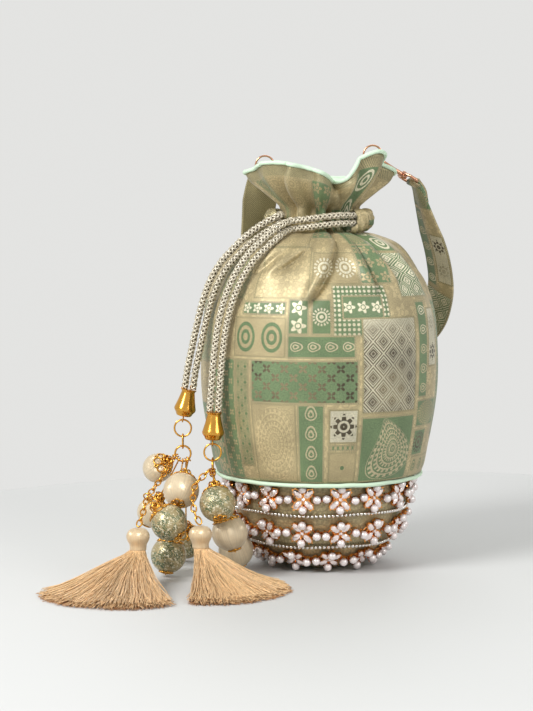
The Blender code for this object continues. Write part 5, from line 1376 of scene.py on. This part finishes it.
def make_strap(sizes, colours):
    """Brocade strap with a mint back, folded round the bar of each hook's loop."""
    right_path, right_across, right_gap = bar_wrap(hook_matrices("right")[1])
    left_path, left_across, left_gap = bar_wrap(hook_matrices("left")[1])
    middle = smooth([right_path[-1], *[Vector(p) for p, _ in STRAP_ROUTE], left_path[-1]], 0.011)
    # The folded ends lie under the strap that they are stitched to
    right_path[:0] = [middle[1] - right_gap * 0.8, middle[0].lerp(middle[1], 0.4) - right_gap]
    left_path[:0] = [middle[-2] - left_gap * 0.8, middle[-1].lerp(middle[-2], 0.4) - left_gap]
    widths = [right_across, *[Vector(w) for _, w in STRAP_ROUTE], left_across]
    # Route with the strap's direction across and its width at each point
    line = [(point, right_across, STRAP_NARROW) for point in right_path]
    for i in range(1, len(middle) - 1):
        share = i / (len(middle) - 1) * (len(widths) - 1)
        low = min(int(share), len(widths) - 2)
        across = widths[low].lerp(widths[low + 1], share - low)
        full = min(1.0, min(i, len(middle) - 1 - i) / 3)
        line.append((middle[i], across, STRAP_NARROW + (sizes.strap - STRAP_NARROW) * full))
    line += [(point, left_across, STRAP_NARROW) for point in left_path[::-1]]
    spots = smooth([p for p, _, _ in line], 0.0016)
    length = length_of(spots)
    marks = [0.0]
    for near, far in zip(line, line[1:]):
        marks.append(marks[-1] + (far[0] - near[0]).length)
    sections = []
    for i, spot in enumerate(spots):
        want = marks[-1] * i / (len(spots) - 1)
        low = max(k for k in range(len(marks) - 1) if marks[k] <= want + 1e-9)
        share = (want - marks[low]) / max(1e-9, marks[low + 1] - marks[low])
        across = line[low][1].lerp(line[low + 1][1], share)
        width = line[low][2] + (line[low + 1][2] - line[low][2]) * share
        run = run_at(spots, i)
        across = (across - run * run.dot(across)).normalized()
        sections.append((spot, across, run.cross(across), width))
    bm = bmesh.new()

    def shape(u, v):
        at = v * (len(sections) - 1)
        low = min(int(at), len(sections) - 2)
        spot, across, out, width = sections[low]
        spot2, across2, out2, width2 = sections[low + 1]
        t = at - low
        spot, across, out = spot.lerp(spot2, t), across.lerp(across2, t), out.lerp(out2, t)
        width += (width2 - width) * t
        cup = 0.0004 * math.cos(math.pi * (u - 0.5) * 2.0)
        return spot + across * (u - 0.5) * width + out * cup

    skin(bm, 20, len(sections) - 1, shape, (1000 * sizes.strap, length / MM), merge=False)
    cloth = brocade(colours, "strap_brocade", slide=(58.0, 6.0))
    piece = finished("brocade_strap", bm, [satin(colours), cloth], "bag", "strap")
    wall = piece.modifiers.new("Folded edges", "SOLIDIFY")
    wall.thickness = STRAP_THICK
    wall.offset = 0.0
    wall.material_offset = 1
    wall.material_offset_rim = 1


def make_stage():
    """Pale table, soft lamps, a pale room and the camera."""
    def links(tree, spot):
        return {"Base Color": fleck(tree, spot, linear("#cfd0cf"), 0.015, 3.0)}

    bm = bmesh.new()
    top = Matrix.Translation((0.045, -1.13, 0.0)) @ Matrix.Diagonal((0.72, 1.50, 1.0, 1.0))
    bmesh.ops.create_circle(bm, cap_ends=True, segments=96, radius=1.0, matrix=top)
    mesh = mesh_of("table", bm)
    mesh.materials.append(surface("matt_table", {"Roughness": 0.6}, links))
    shown("table", mesh)

    for name, place, aim, size, power in (
            ("window_lamp", (-0.80, -0.80, 0.90), (0.0, 0.0, 0.10), 0.5, 16.0),
            ("fill_lamp", (1.0, -0.9, 0.70), (0.0, 0.0, 0.10), 0.6, 5.5),
            ("back_lamp", (0.1, 0.9, 1.1), (0.0, 0.0, 0.12), 0.8, 5.0)):
        data = bpy.data.lights.new(name, "AREA")
        data.size = size
        data.energy = power
        lamp = shown(name, data)
        lamp.matrix_world = Matrix.Translation(place) @ facing(Vector(place) - Vector(aim))

    world = bpy.data.worlds.new("soft_room")
    world.use_nodes = True
    tree = world.node_tree
    path = tree.nodes.new("ShaderNodeLightPath")
    seen = add(tree, "Math:MAXIMUM", path.outputs["Is Camera Ray"], path.outputs["Is Glossy Ray"])
    seen = add(tree, "Math:MAXIMUM", seen, path.outputs["Is Transmission Ray"])
    strength = add(tree, "MapRange", seen, 0.0, 1.0, 0.58, 0.87)
    ground = tree.nodes["Background"]
    ground.inputs["Color"].default_value = (*linear("#f2f2f0"), 1.0)
    tree.links.new(strength, ground.inputs["Strength"])
    bpy.context.scene.world = world

    data = bpy.data.cameras.new("camera")
    data.lens = 92.05
    data.sensor_width = 36.0
    camera = shown("camera", data)
    camera.location = (-0.0291, -1.0, 0.19)
    camera.rotation_euler = (math.radians(90.0 - 4.29), 0.0, 0.0)
    bpy.context.scene.camera = camera
    bpy.context.scene.view_settings.view_transform = "Standard"


class POTLI_OT_bag_cloth(bpy.types.Operator):
    """Gathered brocade shell of the bag"""
    bl_idname = "potli.bag_cloth"
    bl_label = "Bag Cloth"

    def execute(self, context):
        make_bag_cloth(context.scene.potli_sizes, context.scene.potli_colours)
        return {"FINISHED"}


class POTLI_OT_lining(bpy.types.Operator):
    """Satin lining of the mouth and shoulder"""
    bl_idname = "potli.lining"
    bl_label = "Lining"

    def execute(self, context):
        make_lining(context.scene.potli_colours)
        return {"FINISHED"}


class POTLI_OT_pipings(bpy.types.Operator):
    """Satin pipings of the rim and the seam"""
    bl_idname = "potli.pipings"
    bl_label = "Pipings"

    def execute(self, context):
        make_pipings(context.scene.potli_sizes, context.scene.potli_colours)
        return {"FINISHED"}


class POTLI_OT_base(bpy.types.Operator):
    """Cloth over the round base"""
    bl_idname = "potli.base"
    bl_label = "Base"

    def execute(self, context):
        make_base(context.scene.potli_colours)
        return {"FINISHED"}


class POTLI_OT_lace(bpy.types.Operator):
    """Rows of pearl and crystal flowers on the base"""
    bl_idname = "potli.lace"
    bl_label = "Pearl Lace"

    def execute(self, context):
        make_lace(context.scene.potli_sizes)
        return {"FINISHED"}


class POTLI_OT_ball_chains(bpy.types.Operator):
    """Rows of silver balls between the lace"""
    bl_idname = "potli.ball_chains"
    bl_label = "Ball Chains"

    def execute(self, context):
        make_ball_chains(context.scene.potli_sizes)
        return {"FINISHED"}


class POTLI_OT_casing(bpy.types.Operator):
    """Stitched tunnel of the drawstring"""
    bl_idname = "potli.casing"
    bl_label = "Casing"

    def execute(self, context):
        make_casing(context.scene.potli_sizes, context.scene.potli_colours)
        return {"FINISHED"}


class POTLI_OT_end_caps(bpy.types.Operator):
    """Turned caps of the cord ends"""
    bl_idname = "potli.end_caps"
    bl_label = "End Caps"

    def execute(self, context):
        make_end_caps(context.scene.potli_colours)
        return {"FINISHED"}


class POTLI_OT_cords(bpy.types.Operator):
    """Braided drawstring and its loose strands"""
    bl_idname = "potli.cords"
    bl_label = "Cords"

    def execute(self, context):
        make_cords(context.scene.potli_sizes, context.scene.potli_colours)
        return {"FINISHED"}


class POTLI_OT_rings(bpy.types.Operator):
    """Gold rings and link under the caps"""
    bl_idname = "potli.rings"
    bl_label = "Rings"

    def execute(self, context):
        make_rings(context.scene.potli_colours)
        return {"FINISHED"}


class POTLI_OT_beads(bpy.types.Operator):
    """Silk and brocade beads with their filigree"""
    bl_idname = "potli.beads"
    bl_label = "Beads"

    def execute(self, context):
        make_beads(context.scene.potli_colours)
        return {"FINISHED"}


class POTLI_OT_tassel_chains(bpy.types.Operator):
    """Chains that the tassels hang on"""
    bl_idname = "potli.tassel_chains"
    bl_label = "Tassel Chains"

    def execute(self, context):
        make_tassel_chains(context.scene.potli_colours)
        return {"FINISHED"}


class POTLI_OT_tassels(bpy.types.Operator):
    """Silk tassels with wound heads"""
    bl_idname = "potli.tassels"
    bl_label = "Tassels"

    def execute(self, context):
        make_tassels(context.scene.potli_sizes, context.scene.potli_colours)
        return {"FINISHED"}


class POTLI_OT_hooks(bpy.types.Operator):
    """Rim rings and snap hooks of the strap"""
    bl_idname = "potli.hooks"
    bl_label = "Snap Hooks"

    def execute(self, context):
        make_hooks(context.scene.potli_colours)
        return {"FINISHED"}


class POTLI_OT_strap(bpy.types.Operator):
    """Brocade strap between the hooks"""
    bl_idname = "potli.strap"
    bl_label = "Strap"

    def execute(self, context):
        make_strap(context.scene.potli_sizes, context.scene.potli_colours)
        return {"FINISHED"}


class POTLI_OT_stage(bpy.types.Operator):
    """Table, lamps and camera"""
    bl_idname = "potli.stage"
    bl_label = "Stage"

    def execute(self, context):
        make_stage()
        return {"FINISHED"}


class POTLI_PT_panel(bpy.types.Panel):
    """Buttons that build the bag, in order"""
    bl_idname = "POTLI_PT_panel"
    bl_label = "Potli Bag"
    bl_space_type = "VIEW_3D"
    bl_region_type = "UI"
    bl_category = "Potli"

    def draw(self, context):
        for group in (context.scene.potli_sizes, context.scene.potli_colours):
            for name in group.bl_rna.properties.keys():
                if name not in ("name", "rna_type"):
                    self.layout.prop(group, name)
        for step in STEPS:
            self.layout.operator(step.bl_idname)


STEPS = (
    POTLI_OT_bag_cloth,
    POTLI_OT_lining,
    POTLI_OT_pipings,
    POTLI_OT_base,
    POTLI_OT_lace,
    POTLI_OT_ball_chains,
    POTLI_OT_casing,
    POTLI_OT_end_caps,
    POTLI_OT_cords,
    POTLI_OT_rings,
    POTLI_OT_beads,
    POTLI_OT_tassel_chains,
    POTLI_OT_tassels,
    POTLI_OT_hooks,
    POTLI_OT_strap,
    POTLI_OT_stage,
)
CLASSES = (PotliSizes, PotliColours, *STEPS, POTLI_PT_panel)


def register():
    for entry in CLASSES:
        bpy.utils.register_class(entry)
    bpy.types.Scene.potli_sizes = bpy.props.PointerProperty(type=PotliSizes)
    bpy.types.Scene.potli_colours = bpy.props.PointerProperty(type=PotliColours)


def unregister():
    del bpy.types.Scene.potli_colours
    del bpy.types.Scene.potli_sizes
    for entry in reversed(CLASSES):
        bpy.utils.unregister_class(entry)


def main():
    register()
    for step in STEPS:
        group, name = step.bl_idname.split(".")
        getattr(getattr(bpy.ops, group), name)()


if __name__ == "__main__":
    main()
